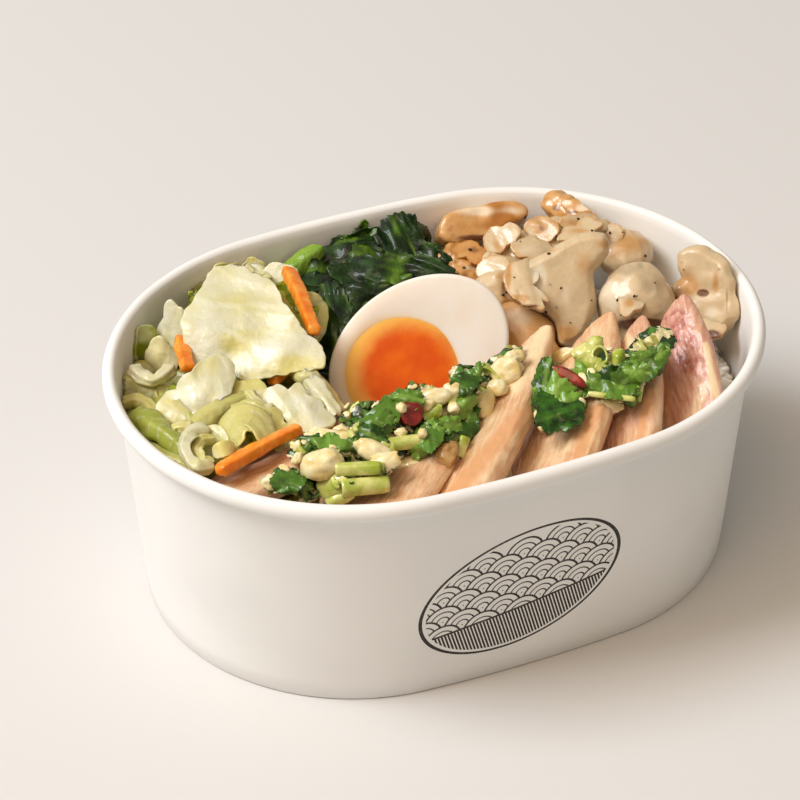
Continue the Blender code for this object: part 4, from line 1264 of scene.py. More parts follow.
# Leaves as drawn in the picture: outline, height of the middle, slope, folds, bumps, ruffle,
# thickness, tint (0 cream, 0.4 yellow, 1 green), points across the grid, bend
LEAVES = (
    # the two large pale leaves on top
    (((205, 272), (213, 265), (225, 264), (240, 265), (252, 272), (262, 276), (272, 282), (278, 290),
     (282, 302), (292, 312), (300, 325), (308, 335), (318, 342), (324, 350), (326, 358), (324, 368),
     (315, 370), (300, 372), (290, 374), (275, 376), (262, 380), (245, 381), (235, 378), (228, 372),
     (215, 370), (200, 368), (190, 364), (186, 350), (184, 338), (181, 325), (184, 312), (190, 304),
     (194, 296), (200, 287), (203, 280)), 73.0, (0.1, -0.55), (0.9, 17.0), (2.6, 20.0), (0.5, 3), 0.9,
     0.2, 80, (70, 2.6)),
    (((176, 390), (190, 372), (202, 361), (218, 355), (230, 362), (233, 374), (231, 392), (222, 400),
     (210, 403), (196, 415), (186, 420), (175, 416), (160, 418), (158, 404), (165, 393)), 68.5,
     (0.15, -0.4), (0.6, 12.0), (1.3, 10.0), (0.4, 3), 1.0, 0.16, 51, (25, 3.6)),
    # leaf edges along the back wall
    (((186, 272), (200, 260), (222, 259), (240, 266), (236, 280), (212, 286), (196, 284)), 66.0,
     (0, 0.1), (0.6, 9.0), (0.6, 9.0), (0.6, 3), 0.7, 0.42, 35, (0, 1.5)),
    (((236, 270), (242, 260), (258, 259), (268, 268), (262, 284), (244, 286)), 65.5, (0, 0.1),
     (0.5, 8.0), (0.5, 8.0), (0.5, 3), 0.7, 0.5, 32, (0, 2.0)),
    (((262, 278), (268, 265), (284, 264), (298, 272), (300, 284), (288, 292), (272, 290)), 66.5,
     (0, -0.1), (0.5, 7.0), (0.6, 8.0), (0.4, 2), 0.9, 0.1, 35, (90, 1.5)),
    (((298, 292), (312, 292), (325, 306), (322, 326), (312, 340), (304, 332), (298, 312)), 62.0,
     (0.2, -0.1), (0.5, 8.0), (0.6, 7.0), (0.3, 2), 0.8, 0.42, 35, (0, 1.5)),
    # left wall: upright cream leaf, olive leaf, pale pieces
    (((164, 350), (164, 318), (170, 300), (180, 307), (188, 322), (188, 345), (178, 364)), 67.0,
     (0.5, 0.3), (0.5, 7.0), (0.5, 8.0), (0.3, 2), 0.9, 0.12, 32, (0, 1.8)),
    (((129, 342), (134, 329), (150, 325), (158, 340), (156, 366), (148, 376), (136, 370)), 62.0,
     (-0.5, 0.4), (0.5, 7.0), (0.4, 8.0), (0.4, 3), 0.8, 0.95, 35, (90, 1.4)),
    (((148, 348), (158, 336), (170, 346), (174, 372), (162, 378), (150, 368)), 63.0, (0.2, 0.1),
     (0.4, 6.0), (0.5, 6.0), (0.3, 2), 1.1, 0.25, 32, (0, 1.6)),
    (((118, 388), (126, 372), (140, 380), (160, 384), (174, 388), (164, 402), (140, 404), (124, 400)),
     61.5, (0, -0.3), (0.5, 6.0), (0.6, 7.0), (0.5, 3), 0.9, 0.5, 35, (60, 1.6)),
    (((157, 404), (175, 400), (192, 404), (188, 418), (172, 430), (160, 422)), 64.5, (0, -0.4),
     (0.5, 7.0), (0.5, 8.0), (0.4, 3), 0.9, 0.3, 32, (60, 1.4)),
    # left front, inside the curved rib and the arch
    (((190, 444), (200, 430), (222, 428), (230, 442), (218, 458), (200, 462)), 63.0, (0, -0.5),
     (0.5, 6.0), (0.7, 6.0), (0.4, 3), 0.9, 0.55, 35, (30, -1.6)),
    (((232, 440), (240, 430), (258, 430), (266, 444), (254, 460), (238, 458)), 63.0, (0, -0.4),
     (0.5, 6.0), (0.5, 6.0), (0.3, 3), 0.9, 0.85, 32, (20, -1.6)),
    (((216, 452), (220, 443), (228, 443), (231, 451), (225, 458), (218, 457)), 67.0, (0, -0.3),
     (0.1, 6.0), (0.2, 5.0), (0.1, 2), 2.6, 0.5, 22, (20, 2.2)),
    (((228, 388), (246, 381), (264, 384), (268, 400), (256, 412), (240, 408), (231, 400)), 65.0,
     (0, -0.5), (0.6, 8.0), (0.6, 8.0), (0.4, 3), 0.8, 0.42, 35, (100, 1.8)),
    # right front: clear whitish leaves beside the egg
    (((264, 392), (276, 385), (288, 390), (297, 383), (306, 395), (324, 408), (336, 422), (322, 430),
     (304, 433), (286, 420), (270, 414), (262, 404)), 66.0, (0.1, -0.6), (0.6, 10.0), (1.1, 9.0),
     (0.4, 3), 0.8, 0.1, 51, (40, 2.6)),
    (((258, 406), (270, 408), (284, 422), (298, 440), (284, 452), (266, 440)), 64.0, (0, -0.5),
     (0.5, 7.0), (0.6, 8.0), (0.4, 3), 0.8, 0.36, 35, (20, 1.6)),
)
# Ribs and strips: path in picture points with heights, width, thickness, cup, twist, tint, rib
RIBBONS = (
    (((131, 366, 66), (140, 375, 65), (152, 380, 65), (163, 375, 65.5), (173, 366, 66)), 4.2, 0.6, 0.8,
     (10, 0), 0.16, 0.5),
    (((122, 404, 62), (134, 400, 62.5), (146, 404, 62.5), (152, 414, 62)), 4.5, 0.66, 1.0, (0, 20),
     0.35, 0.2),
    (((128, 418, 63.5), (146, 421, 66), (166, 433, 67), (186, 449, 65.5)), 7.6, 0.54, 2.4, (20, 30),
     0.8, 0.5),
    (((136, 438, 62.5), (158, 452, 64), (182, 463, 64), (200, 474, 62)), 5.0, 0.48, 1.4, (30, 15), 0.6,
     0.2),
    (((148, 446, 61.5), (168, 460, 62.5), (190, 470, 62)), 4.0, 0.48, 1.0, (20, 0), 0.75, 0.0),
    (((208, 430, 65.5), (193, 431, 67), (184, 444, 67.5), (186, 458, 67), (197, 468, 66),
     (214, 467, 65)), 4.4, 0.48, 0.8, (-35, -20), 0.2, 0.6),
    (((214, 438, 65), (202, 440, 66), (196, 450, 66), (202, 461, 65.5), (214, 462, 65)), 3.2, 0.42, 0.6,
     (-30, 0), 0.4, 0.3),
    (((178, 434, 64), (196, 424, 65.5), (220, 409, 66.5), (246, 398, 66), (262, 392, 65)), 6.4, 0.42,
     1.8, (30, 0), 0.55, 0.2),
    (((186, 424, 63), (206, 420, 64.5), (226, 412, 65)), 5.0, 0.42, 1.4, (-20, 20), 0.62, 0.2),
    (((232, 450, 63.5), (233, 431, 66.5), (242, 419, 68.5), (255, 418, 68.5), (264, 429, 67.5),
     (271, 446, 65)), 10.5, 0.48, 0.3, (48, 48), 0.47, 0.0),
    (((236, 412, 66.5), (246, 404, 67.5), (258, 407, 67.5), (266, 416, 67)), 4.0, 0.48, 0.8, (20, 30),
     0.35, 0.4),
    (((240, 452, 62.5), (243, 440, 64.5), (252, 436, 65), (259, 446, 64)), 5.0, 0.48, 1.0, (20, -20),
     0.85, 0.3),
    (((222, 462, 64.5), (231, 453, 65.5), (232, 440, 65.5)), 4.4, 0.48, 1.0, (20, 0), 0.5, 0.2),
    (((298, 376, 65.5), (311, 386, 66), (324, 400, 65.5), (336, 416, 64)), 5.4, 0.42, 1.2, (-20, 20),
     0.2, 0.4),
    (((306, 372, 64), (318, 380, 64.5), (330, 397, 64), (338, 412, 63)), 4.6, 0.42, 1.2, (25, 10), 0.3,
     0.3),
    (((292, 372, 65), (302, 377, 66.5), (312, 378, 66.5), (313, 390, 65.5)), 4.2, 0.54, 1.2, (0, 10),
     0.3, 0.4),
    (((184, 284, 66), (196, 274, 67), (214, 268, 67), (230, 268, 66.5)), 4.6, 0.48, 1.4, (20, 0), 0.5,
     0.2),
    (((244, 262, 66), (258, 268, 67), (268, 280, 67)), 3.4, 0.48, 1.0, (0, 0), 0.3, 0.4),
    (((168, 440, 64), (176, 428, 65.5), (190, 428, 66)), 4.4, 0.48, 1.0, (0, 20), 0.3, 0.3),
    (((246, 392, 66.5), (256, 402, 67), (270, 410, 66)), 3.6, 0.48, 1.0, (0, 20), 0.25, 0.4),
    (((306, 300, 64.5), (318, 308, 64), (322, 324, 63), (314, 338, 62)), 4.2, 0.48, 1.0, (0, 0), 0.45,
     0.2),
)


def tint_of_the_large_leaf(point):
    """Cream at the upper left, olive in the middle, ochre towards the lower right; the olive patch left
    of the middle is partly painted shade, and the paler patch on the lower right bulge is a painted
    highlight.
    """
    return (0.14 + 0.24 * spot(point, 236, 345, 30, 22) + 0.3 * spot(point, 300, 366, 40, 16)
            + 0.25 * spot(point, 245, 376, 30, 8) - 0.14 * spot(point, 205, 335, 30, 40)
            - 0.12 * spot(point, 262, 350, 16, 14) + 0.12 * spot(point, 232, 300, 30, 16))


leaves = []
for k, (drawn, height, slope, folds, bumps, ruffle, thick, tint, grid, bend) in enumerate(LEAVES):
    piece = outline_leaf(f"cabbage_leaf_{k}", drawn, height, slope, folds, bumps, ruffle, thick,
                         k + 2, grid, bend)
    if k:
        leaves.append(tinted(piece, tint))
    else:
        leaves.append(painted(piece, tint=tint_of_the_large_leaf))
for k, (path, width, thick, cup, twist, tint, rib) in enumerate(RIBBONS):
    piece = ribbon(f"cabbage_rib_{k}", drawn_path(path), width, thick, cup, twist, 80 + k, rib=rib)
    leaves.append(tinted(piece, tint))

# Shreds at random below the leaves: how many, where in X and Y, their lowest height, the drop of
# their ends and how far one moves left that would lie below the mushrooms or the egg
SHREDS = 34
SHRED_X = (-82, -34)
SHRED_Y = (-16, 54)
SHRED_HEIGHT = 57.5
SHRED_DROP = Vector((0, 0, -2))
SHRED_MOVE = 20
dice = random.Random(77)
for k in range(SHREDS):
    x, y = dice.uniform(*SHRED_X), dice.uniform(*SHRED_Y)
    if x > -66 and y > 12 or x > -40 and y < 5:
        x -= SHRED_MOVE
    heading = dice.uniform(-0.6, 1.8)
    length, sway = dice.uniform(8, 14), dice.uniform(-4, 4)
    along = Vector((math.cos(heading), math.sin(heading), 0))
    aside = Vector((-along.y, along.x, 0))
    middle = Vector((x, y, SHRED_HEIGHT + dice.uniform(0, 3.5)))
    path = [middle - along * length + SHRED_DROP, middle + aside * sway,
            middle + along * length + SHRED_DROP]
    piece = ribbon(f"cabbage_shred_{k}", path, dice.uniform(4, 7), 0.8, dice.uniform(0.5, 1.5),
                   (dice.uniform(-50, 50), dice.uniform(-50, 50)), 150 + k, (28, 8))
    leaves.append(tinted(piece, dice.choice((0.2, 0.35, 0.5, 0.7))))
adopt(joined(leaves, "cabbage_leaves"), "cabbage", cabbage)


# Carrots

# Strips: one end, other end, width, thickness
CARROTS = (
    ((-26.0, 49.0, 72.5), (-31.0, 15.0, 70.5), 4.4, 3.6),
    ((-64.5, 33.0, 69.0), (-68.5, 19.0, 65.0), 4.4, 3.4),
    ((-75.5, -25.5, 65.5), (-48.0, -15.5, 68.5), 4.8, 3.6),
    ((-46.5, 10.5, 63.5), (-39.0, 13.5, 61.5), 4.2, 3.2),
)
CARROT_LEAN = 70.0


def carrot_strip(number, start, end, width, thick):
    """A strip with rounded edges and slightly uneven sides."""
    length = (Vector(end) - Vector(start)).length

    def shape(share, angle):
        cap = min(1.0, share * 24, (1 - share) * 24) ** 0.5
        size = (0.86 + 0.14 * math.sin(math.pi * min(share * 1.6, 1))) * cap
        cos, sin = math.cos(angle), math.sin(angle)
        y = math.copysign(abs(cos) ** 0.42, cos) * size * width / 2
        z = math.copysign(abs(sin) ** 0.42, sin) * size * thick / 2
        bend = 0.02 * length * math.sin(math.pi * share)
        return share * length, y + 0.3 * math.sin(4 * share + number), z + bend

    item = ball(f"carrot_strip_{number}", 32, 80, shape, seat_along(start, end, CARROT_LEAN))
    moved(item, lambda p, n: p + n * 0.22 * waves(p, 3.0, number, 3))
    return item


def carrot_finish():
    """Moist orange with paler patches."""
    finish = Finish("cooked carrot", roughness=0.3, base_color="#F0801E", subsurface_weight=0.25,
                    subsurface_radius=(0.004, 0.0012, 0.0004), coat_weight=0.3, coat_roughness=0.2)
    finish.put("Subsurface Scale", 1.0)
    broad = finish.clouds(4, 3)
    finish.put("Base Color", finish.mix(broad.step(0.3, 0.75), "#F07A0C", "#FBA63A"))
    finish.put("Normal", finish.bump(finish.clouds(0.8, 3, 0.6), 0.12, 0.6))
    return finish


carrot = carrot_finish()
for number, spec in enumerate(CARROTS, 1):
    adopt(carrot_strip(number, *spec), "carrot", carrot, f"carrot_{number}")


# Spinach

def spinach_finish():
    """Dark wet green with lighter veins; the stem is tinted light."""
    finish = Finish("wilted spinach", roughness=0.4, base_color="#16311A", subsurface_weight=0.1,
                    subsurface_radius=(0.001, 0.002, 0.0005), coat_weight=0.3, coat_roughness=0.04)
    finish.put("Specular IOR Level", 0.25)
    finish.put("Subsurface Scale", 1.0)
    broad = finish.clouds(5, 4, 0.55)
    colour = finish.mix(broad.step(0.3, 0.75), "#0A1702", "#24450A")
    colour = finish.mix(finish.mark("tint").step(0.3, 1.0), colour, "#86A63A")
    colour = finish.mix(finish.mark("vein").step(0.25, 0.7) * 0.6, colour, "#6E9420")
    finish.put("Base Color", colour)
    finish.put("Roughness", 0.35 + broad * 0.25)
    fine = finish.clouds(1.6, 4, 0.65)
    finish.put("Normal", finish.bump(fine, 0.7, 0.9, finish.bump(finish.mark("vein"), 0.5, 0.6)))
    return finish


spinach = spinach_finish()
# How far the heap's skin goes in below the leaves
MASS_INSET = 2.4
mass = cad_copy("spinach", "spinach_mass", 0.9, 3)
moved(mass, lambda p, n: p + n * (2.0 * (creases(p, 9.0, 6, 3) - 0.5) - MASS_INSET))
painted(mass, tint=lambda p: 0.1, vein=lambda p: creases(p, 6.0, 2, 2) - 0.4)
adopt(mass, "spinach", spinach, "spinach")

# Leaves as drawn in the picture: outline, height of the middle, slope, direction across the folds
SPINACH_LEAVES = (
    (((311, 250), (330, 245), (352, 238), (357, 222), (363, 217), (369, 226), (380, 232), (390, 245),
     (382, 258), (360, 264), (335, 270), (318, 264)), 67.0, (0.1, -0.5), 60),
    (((374, 236), (382, 222), (388, 215), (401, 212), (414, 215), (417, 228), (424, 240), (436, 248),
     (453, 262), (440, 270), (420, 264), (400, 258), (384, 250)), 70.0, (0.1, -0.4), 30),
    (((326, 270), (350, 262), (380, 256), (410, 255), (440, 262), (454, 271), (445, 277), (420, 279),
     (390, 283), (360, 286), (338, 284)), 68.0, (0.0, -0.7), 85),
    (((335, 292), (360, 284), (390, 280), (412, 274), (404, 284), (382, 294), (362, 306), (350, 318),
     (338, 310)), 65.0, (0.0, -0.5), 100),
    (((322, 282), (338, 284), (348, 300), (350, 322), (342, 346), (334, 368), (325, 352), (320, 322),
     (318, 300)), 60.0, (0.4, -0.2), 10),
    (((294, 286), (305, 277), (320, 272), (332, 278), (326, 290), (306, 292)), 65.0, (0.0, -0.4), 90),
    (((352, 314), (368, 300), (392, 288), (412, 276), (402, 292), (376, 308), (356, 322)), 63.0,
     (0.0, -0.2), 60),
    (((300, 268), (312, 258), (326, 262), (332, 276), (322, 290), (308, 286)), 64.0, (0.2, -0.4), 20),
    (((316, 292), (330, 288), (340, 298), (338, 316), (326, 326), (316, 312)), 60.5, (0.3, -0.3), 70),
    (((416, 248), (430, 244), (446, 252), (462, 266), (458, 276), (440, 274), (424, 262)), 66.0,
     (0.0, -0.5), 40),
)
STEM_PLACE = seat((-18.5, 60.0, 65.0), (-30.0, 45.0), 42.0)
STEM_SIZE = (18.0, 6.0)
LEAF_TINT = 0.12
STEM_TINT = 0.9
leaves = []
for k, (drawn, height, slope, direction) in enumerate(SPINACH_LEAVES):
    piece = outline_leaf(f"spinach_leaf_{k}", drawn, height, slope, (2.3, 8.0), (1.6, 10.0), (0.7, 4),
                         0.7, k + 60, 66, (direction, 1.8), 0.03)
    leaves.append(tinted(piece, LEAF_TINT))
piece = leaf("spinach_stem", STEM_PLACE, STEM_SIZE, (0.5, 2.5), (0.4, 1), (0.4, 5), (0.3, 5), 1.6, 99,
             (40, 14), 0.03)
leaves.append(tinted(piece, STEM_TINT))
adopt(joined(leaves, "spinach_leaves"), "spinach", spinach)


# Rice

def rice_finish():
    """Soft white, a little creamy in places."""
    finish = Finish("cooked rice", roughness=0.35, base_color="#EFE7D6", subsurface_weight=0.4,
                    subsurface_radius=(0.003, 0.0025, 0.002), coat_weight=0.2, coat_roughness=0.2)
    finish.put("Subsurface Scale", 1.0)
    tone = finish.clouds(3, 2)
    finish.put("Base Color", finish.mix(tone.step(0.3, 0.7), "#F2EADB", "#E6DAC2"))
    finish.put("Normal", finish.bump(finish.clouds(0.8, 2), 0.06, 0.5))
    return finish


rice = rice_finish()
bed = cad_copy("rice", "rice_bed", 1.6, 2)
moved(bed, lambda p, n: p + n * (0.7 * (creases(p, 4.0, 2, 2) - 0.9)))
adopt(bed, "rice", rice, "rice")


# Loose grains: half length, half width, how many, the whole box in X and Y, and the patch beside
# the last slice where the rice shows and most grains lie
GRAIN_HALF = 2.9
GRAIN_WIDE = 1.2
GRAINS = 620
BOX_X, BOX_Y = (-90, 90), (-64, 64)
PATCH_X, PATCH_Y = (64, 90), (-48, 10)
PATCH_SHARE = 0.75


def grain_shape(share, angle):
    """A long grain, pointed at both ends and a little flat."""
    wide = GRAIN_WIDE * math.sin(math.pi * share) ** 0.6
    return -GRAIN_HALF * math.cos(math.pi * share), wide * math.cos(angle), 0.85 * wide * math.sin(angle)


one_grain = ball("grain", 8, 8, grain_shape, scaled(Matrix.Identity(4)))
dice = random.Random(5)
bed_tree = tree_of(bed)
grains = []
for _ in range(GRAINS):
    x, y = dice.uniform(*BOX_X), dice.uniform(*BOX_Y)
    if dice.random() < PATCH_SHARE:
        x, y = dice.uniform(*PATCH_X), dice.uniform(*PATCH_Y)
    above = kept_inside((x, y, 46.0), 4.2)
    above.z = 100.0
    hit = bed_tree.ray_cast(above * MM, Vector((0, 0, -1)))[0]
    if hit is None:
        continue
    place = seat((hit / MM) + Vector((0, 0, dice.uniform(0.3, 2.2))),
                 (dice.uniform(0, 360), dice.uniform(50, 90)), dice.uniform(0, 180))
    copy = one_grain.copy()
    copy.data = one_grain.data.copy()
    bpy.context.scene.collection.objects.link(copy)
    for vert in copy.data.vertices:
        vert.co = place @ (vert.co / MM)
    grains.append(copy)
bpy.data.objects.remove(one_grain, do_unlink=True)
adopt(joined(grains, "rice_grains"), "rice", rice)


# Relish: small pieces set where the line of view meets what they lie on

ground = []


def add_ground(item):
    """Lets small pieces land on this one."""
    ground.append(tree_of(item))


# Size of the mince's coloured grains
MINCE_CELL = 1 / 0.55


def mince_finish():
    """Finely chopped garlic and herbs between the larger pieces."""
    finish = Finish("herb mince", roughness=0.25, base_color="#8C8C3C", subsurface_weight=0.2,
                    subsurface_radius=(0.002, 0.002, 0.001), coat_weight=0.35, coat_roughness=0.1)
    finish.put("Subsurface Scale", 1.0)
    parts = finish.node("SeparateColor", {}, {0: finish.cells(MINCE_CELL, out=1)})
    colour = finish.mix(parts > 0.34, "#243F16", "#4E7A2A")
    colour = finish.mix(parts > 0.58, colour, "#A9A24E")
    colour = finish.mix(parts > 0.74, colour, "#E5D8A6")
    finish.put("Base Color", colour)
    lump = finish.cells(1.8)
    finish.put("Normal", finish.bump(1 - lump, 0.5, 0.8))
    return finish


RELISH_NODES = ("relish_left", "relish_middle", "relish_right")
# How far the mince lies below the solid's skin, so that the larger bits stand out of it
MINCE_INSET = 1.7
beds = []
for node in RELISH_NODES:
    cover = cad_copy(node, "cover", 0.9, 1)
    add_ground(cover)
    moved(cover, lambda p, n: p + n * (0.9 * waves(p, 3.0, 4, 2) - MINCE_INSET))
    beds.append(cover)
relish_ground = list(ground)
adopt(joined(beds, "relish_bed"), "relish", mince_finish(), *RELISH_NODES)
for piece in slices + mushroom_pieces + [white, yolk]:
    add_ground(piece)


def landing(px, py):
    """Nearest surface on the line of view: its point in millimetres and its normal."""
    way, best = sight(px, py), None
    for tree in ground:
        hit, normal, _, far = tree.ray_cast(EYE * MM, way)
        if hit is not None and (best is None or far < best[2]):
            best = (hit / MM, normal, far)
    return best


def image_direction(degrees):
    """Direction in space that runs at an angle across the picture, 0 to the right, 90 up."""
    angle = math.radians(degrees)
    return RIGHT * math.cos(angle) + UP * math.sin(angle)


def chunk_piece(name, place, size, seed, bumps, around, rings, square):
    """A lump; bumps is how uneven it is and a small square gives it flatter sides."""

    def shape(share, angle):
        z = math.cos(math.pi * share)
        r = math.sin(math.pi * share) ** square
        point = Vector((r * math.cos(angle), r * math.sin(angle), math.copysign(abs(z) ** square, z)))
        swell = 1 + bumps * waves(point, 0.9, seed, 2) + bumps * (creases(point, 1.1, seed, 2) - 0.5)
        return tuple(point[k] * size[k] / 2 * swell for k in range(3))

    return ball(name, around, rings, shape, place)


def ring_piece(name, place, length, radius, bore, seed):
    """A hollow length of spring onion: a torus primitive drawn out along its axis."""
    item = torus(name, 28, 16)
    wall_mid, wall_half = (radius + bore) / 2, (radius - bore) / 2
    for vert in item.data.vertices:
        big, small = torus_angles(vert.co)
        cos, sin = math.cos(small), math.sin(small)
        r = wall_mid + wall_half * math.copysign(abs(cos) ** 0.5, cos)
        x = length / 2 * math.copysign(abs(sin) ** 0.35, sin)
        r *= 1 + 0.06 * math.sin(3 * big + seed) + 0.05 * math.sin(x * 1.3 + seed)
        vert.co = place @ Vector((x, r * math.cos(big), 0.78 * r * math.sin(big)))
    return face_out(item)


def herb_leaf(name, place, size, seed):
    """A small leaf, some lighter than others."""
    made = leaf(name, place, size, (1.0, 1.3), (0.5, 1.5), (0.35, 3.5), (0.5, 7), 0.45, seed,
                (28, 22), 0.09)
    light = random.Random(seed).uniform(0.0, 0.8)
    return painted(made, light=lambda p: light)


# Bits: kind, x and y in the picture, length, width, angle across the picture, lift
BITS = (
    ("leaf", 284, 478, 8, 6, 20, 1.0), ("leaf", 300, 484, 7, 5, -20, 1.0),
    ("garlic", 322, 464, 12, 8, 15, 2.0), ("pale", 333, 486, 9, 7, 10, 1.2),
    ("onion", 365, 486, 13, 5, 2, 1.5), ("onion", 358, 469, 12, 4, 2, 2.2),
    ("green", 322, 441, 12, 4, -2, 1.5), ("skin", 333, 437, 15, 4, -8, 0.8),
    ("garlic", 374, 452, 11, 6, -25, 2.0), ("skin", 385, 461, 8, 5, 10, 1.5),
    ("leaf", 350, 447, 6, 4, 60, 2.0), ("onion", 403, 443, 12, 4, 8, 2.6),
    ("leaf", 378, 424, 10, 7, 20, 1.5), ("leaf", 392, 408, 11, 7, 30, 2.5),
    ("leaf", 408, 398, 9, 5, -10, 3.0), ("leaf", 372, 436, 9, 6, -30, 2.0),
    ("chilli", 411, 414, 7, 6.5, 70, 3.4), ("seed", 402, 408, 3, 3, 30, 4.6),
    ("seed", 401, 433, 3.5, 2.5, 10, 3.0), ("seed", 422, 435, 3, 2.5, 80, 3.0),
    ("leaf", 428, 436, 9, 7, 50, 2.0), ("pale", 432, 413, 6, 3.5, 35, 3.0),
    ("leaf", 420, 448, 7, 5, 70, 1.5), ("garlic", 437, 398, 9, 5, 15, 2.5),
    ("garlic", 425, 404, 6, 4, 20, 3.0), ("garlic", 452, 392, 6, 5, 40, 2.5),
    ("leaf", 465, 382, 8, 6, 20, 2.0), ("seed", 453, 409, 3.5, 3.5, 0, 4.0),
    ("leaf", 462, 405, 9, 6, 50, 3.0), ("leaf", 466, 425, 9, 7, 80, 2.0),
    ("leaf", 450, 425, 7, 5, 10, 2.0), ("onion", 461, 447, 6, 3.2, 70, 1.5),
    ("garlic", 482, 405, 8, 6, 75, 3.5), ("ring", 486, 380, 3, 9, 40, 3.0),
    ("garlic", 506, 372, 9, 8, 30, 3.0), ("garlic", 514, 357, 6, 4, 20, 2.0),
    ("green", 478, 372, 6, 3, 60, 3.0), ("garlic", 498, 388, 6, 5, -20, 2.0),
    ("brown", 447, 455, 8, 6, 70, 1.5), ("garlic", 270, 482, 5, 4, 10, 0.6),
    ("garlic", 298, 459, 4, 3, 40, 1.0), ("garlic", 344, 430, 6, 3, 10, 1.0),
    ("skin", 405, 464, 9, 4, 12, 0.8), ("pale", 340, 497, 8, 4, 30, 1.0),
    ("leaf", 552, 398, 14, 11, 70, 2.0), ("leaf", 545, 385, 15, 7, 80, 3.0),
    ("leaf", 568, 405, 9, 7, 20, 2.0), ("chilli", 569, 377, 11, 3.6, -32, 4.0),
    ("garlic", 566, 356, 8, 4, 10, 2.0), ("pale", 584, 352, 7, 4, 30, 3.0),
    ("pale", 594, 347, 6, 4, 60, 3.0), ("ring", 600, 357, 2.6, 6, 20, 3.5),
    ("pale", 590, 362, 6, 4, -20, 3.0), ("onion", 606, 372, 7, 3, -30, 4.0),
    ("pale", 618, 358, 5, 3, 70, 2.5), ("leaf", 612, 380, 10, 8, 10, 2.5),
    ("leaf", 598, 384, 9, 7, -20, 2.5), ("leaf", 628, 378, 9, 8, 30, 2.5),
    ("leaf", 622, 390, 10, 5, 5, 3.5), ("stem", 612, 396, 13, 1.6, -6, 3.5),
    ("stem", 640, 388, 8, 1.5, 80, 3.5), ("skin", 612, 405, 7, 4, 0, 1.5),
    ("leaf", 650, 366, 10, 7, 35, 3.0), ("leaf", 641, 360, 7, 5, 20, 3.0),
    ("leaf", 659, 356, 7, 5, 45, 3.0), ("leaf", 636, 372, 8, 6, 0, 2.5),
    ("leaf", 585, 372, 7, 4, -40, 3.0), ("garlic", 545, 415, 6, 4, 0, 1.0),
)
GROUPS = {"garlic": "relish_garlic", "seed": "relish_garlic", "skin": "relish_garlic",
          "brown": "relish_brown", "pale": "relish_onion", "onion": "relish_onion",
          "green": "relish_herbs", "ring": "relish_onion", "stem": "relish_onion",
          "leaf": "relish_herbs", "chilli": "relish_chilli"}


def relish_bit(number, kind, px, py, length, width, angle, lift):
    """One piece of the relish on whatever it lies on, or None where nothing is below it."""
    hit = landing(px, py)
    if hit is None:
        return None
    point, normal, _ = hit
    facing = (Vector(normal) * 0.5 + BACK * 0.8).normalized()
    centre = point + facing * min(0.3 * lift, 1.0)
    place = seat_on(centre, facing, image_direction(angle))
    name = f"bit_{number}"
    if kind in ("garlic", "seed", "brown"):
        return chunk_piece(name, place, (length, width, min(width, 5.5)), number, 0.2, 20, 14, 0.7)
    if kind == "chilli":
        return chunk_piece(name, place, (length, width, 2.2), number, 0.12, 20, 14, 0.6)
    if kind == "skin":
        return leaf(name, place, (length, width), (0.6, 1.0), (0.4, 1), (0.3, 3), (0.2, 5), 0.9, number,
                    (20, 12), 0.08)
    if kind == "pale":
        return leaf(name, place, (length, width), (0.4, 1.6), (0.3, 1), (0.3, 3), (0.2, 5), 1.1, number,
                    (20, 14), 0.06)
    if kind in ("onion", "stem"):
        bore = 0.55 if kind == "onion" else 0.1
        return ring_piece(name, place, length, width / 2, width / 2 * bore, number)
    if kind == "ring":
        upright = place @ Matrix.Rotation(math.radians(90), 4, "Y")
        return ring_piece(name, upright, length, width / 2, width / 2 * 0.7, number)
    return herb_leaf(name, place, (length, width), number)


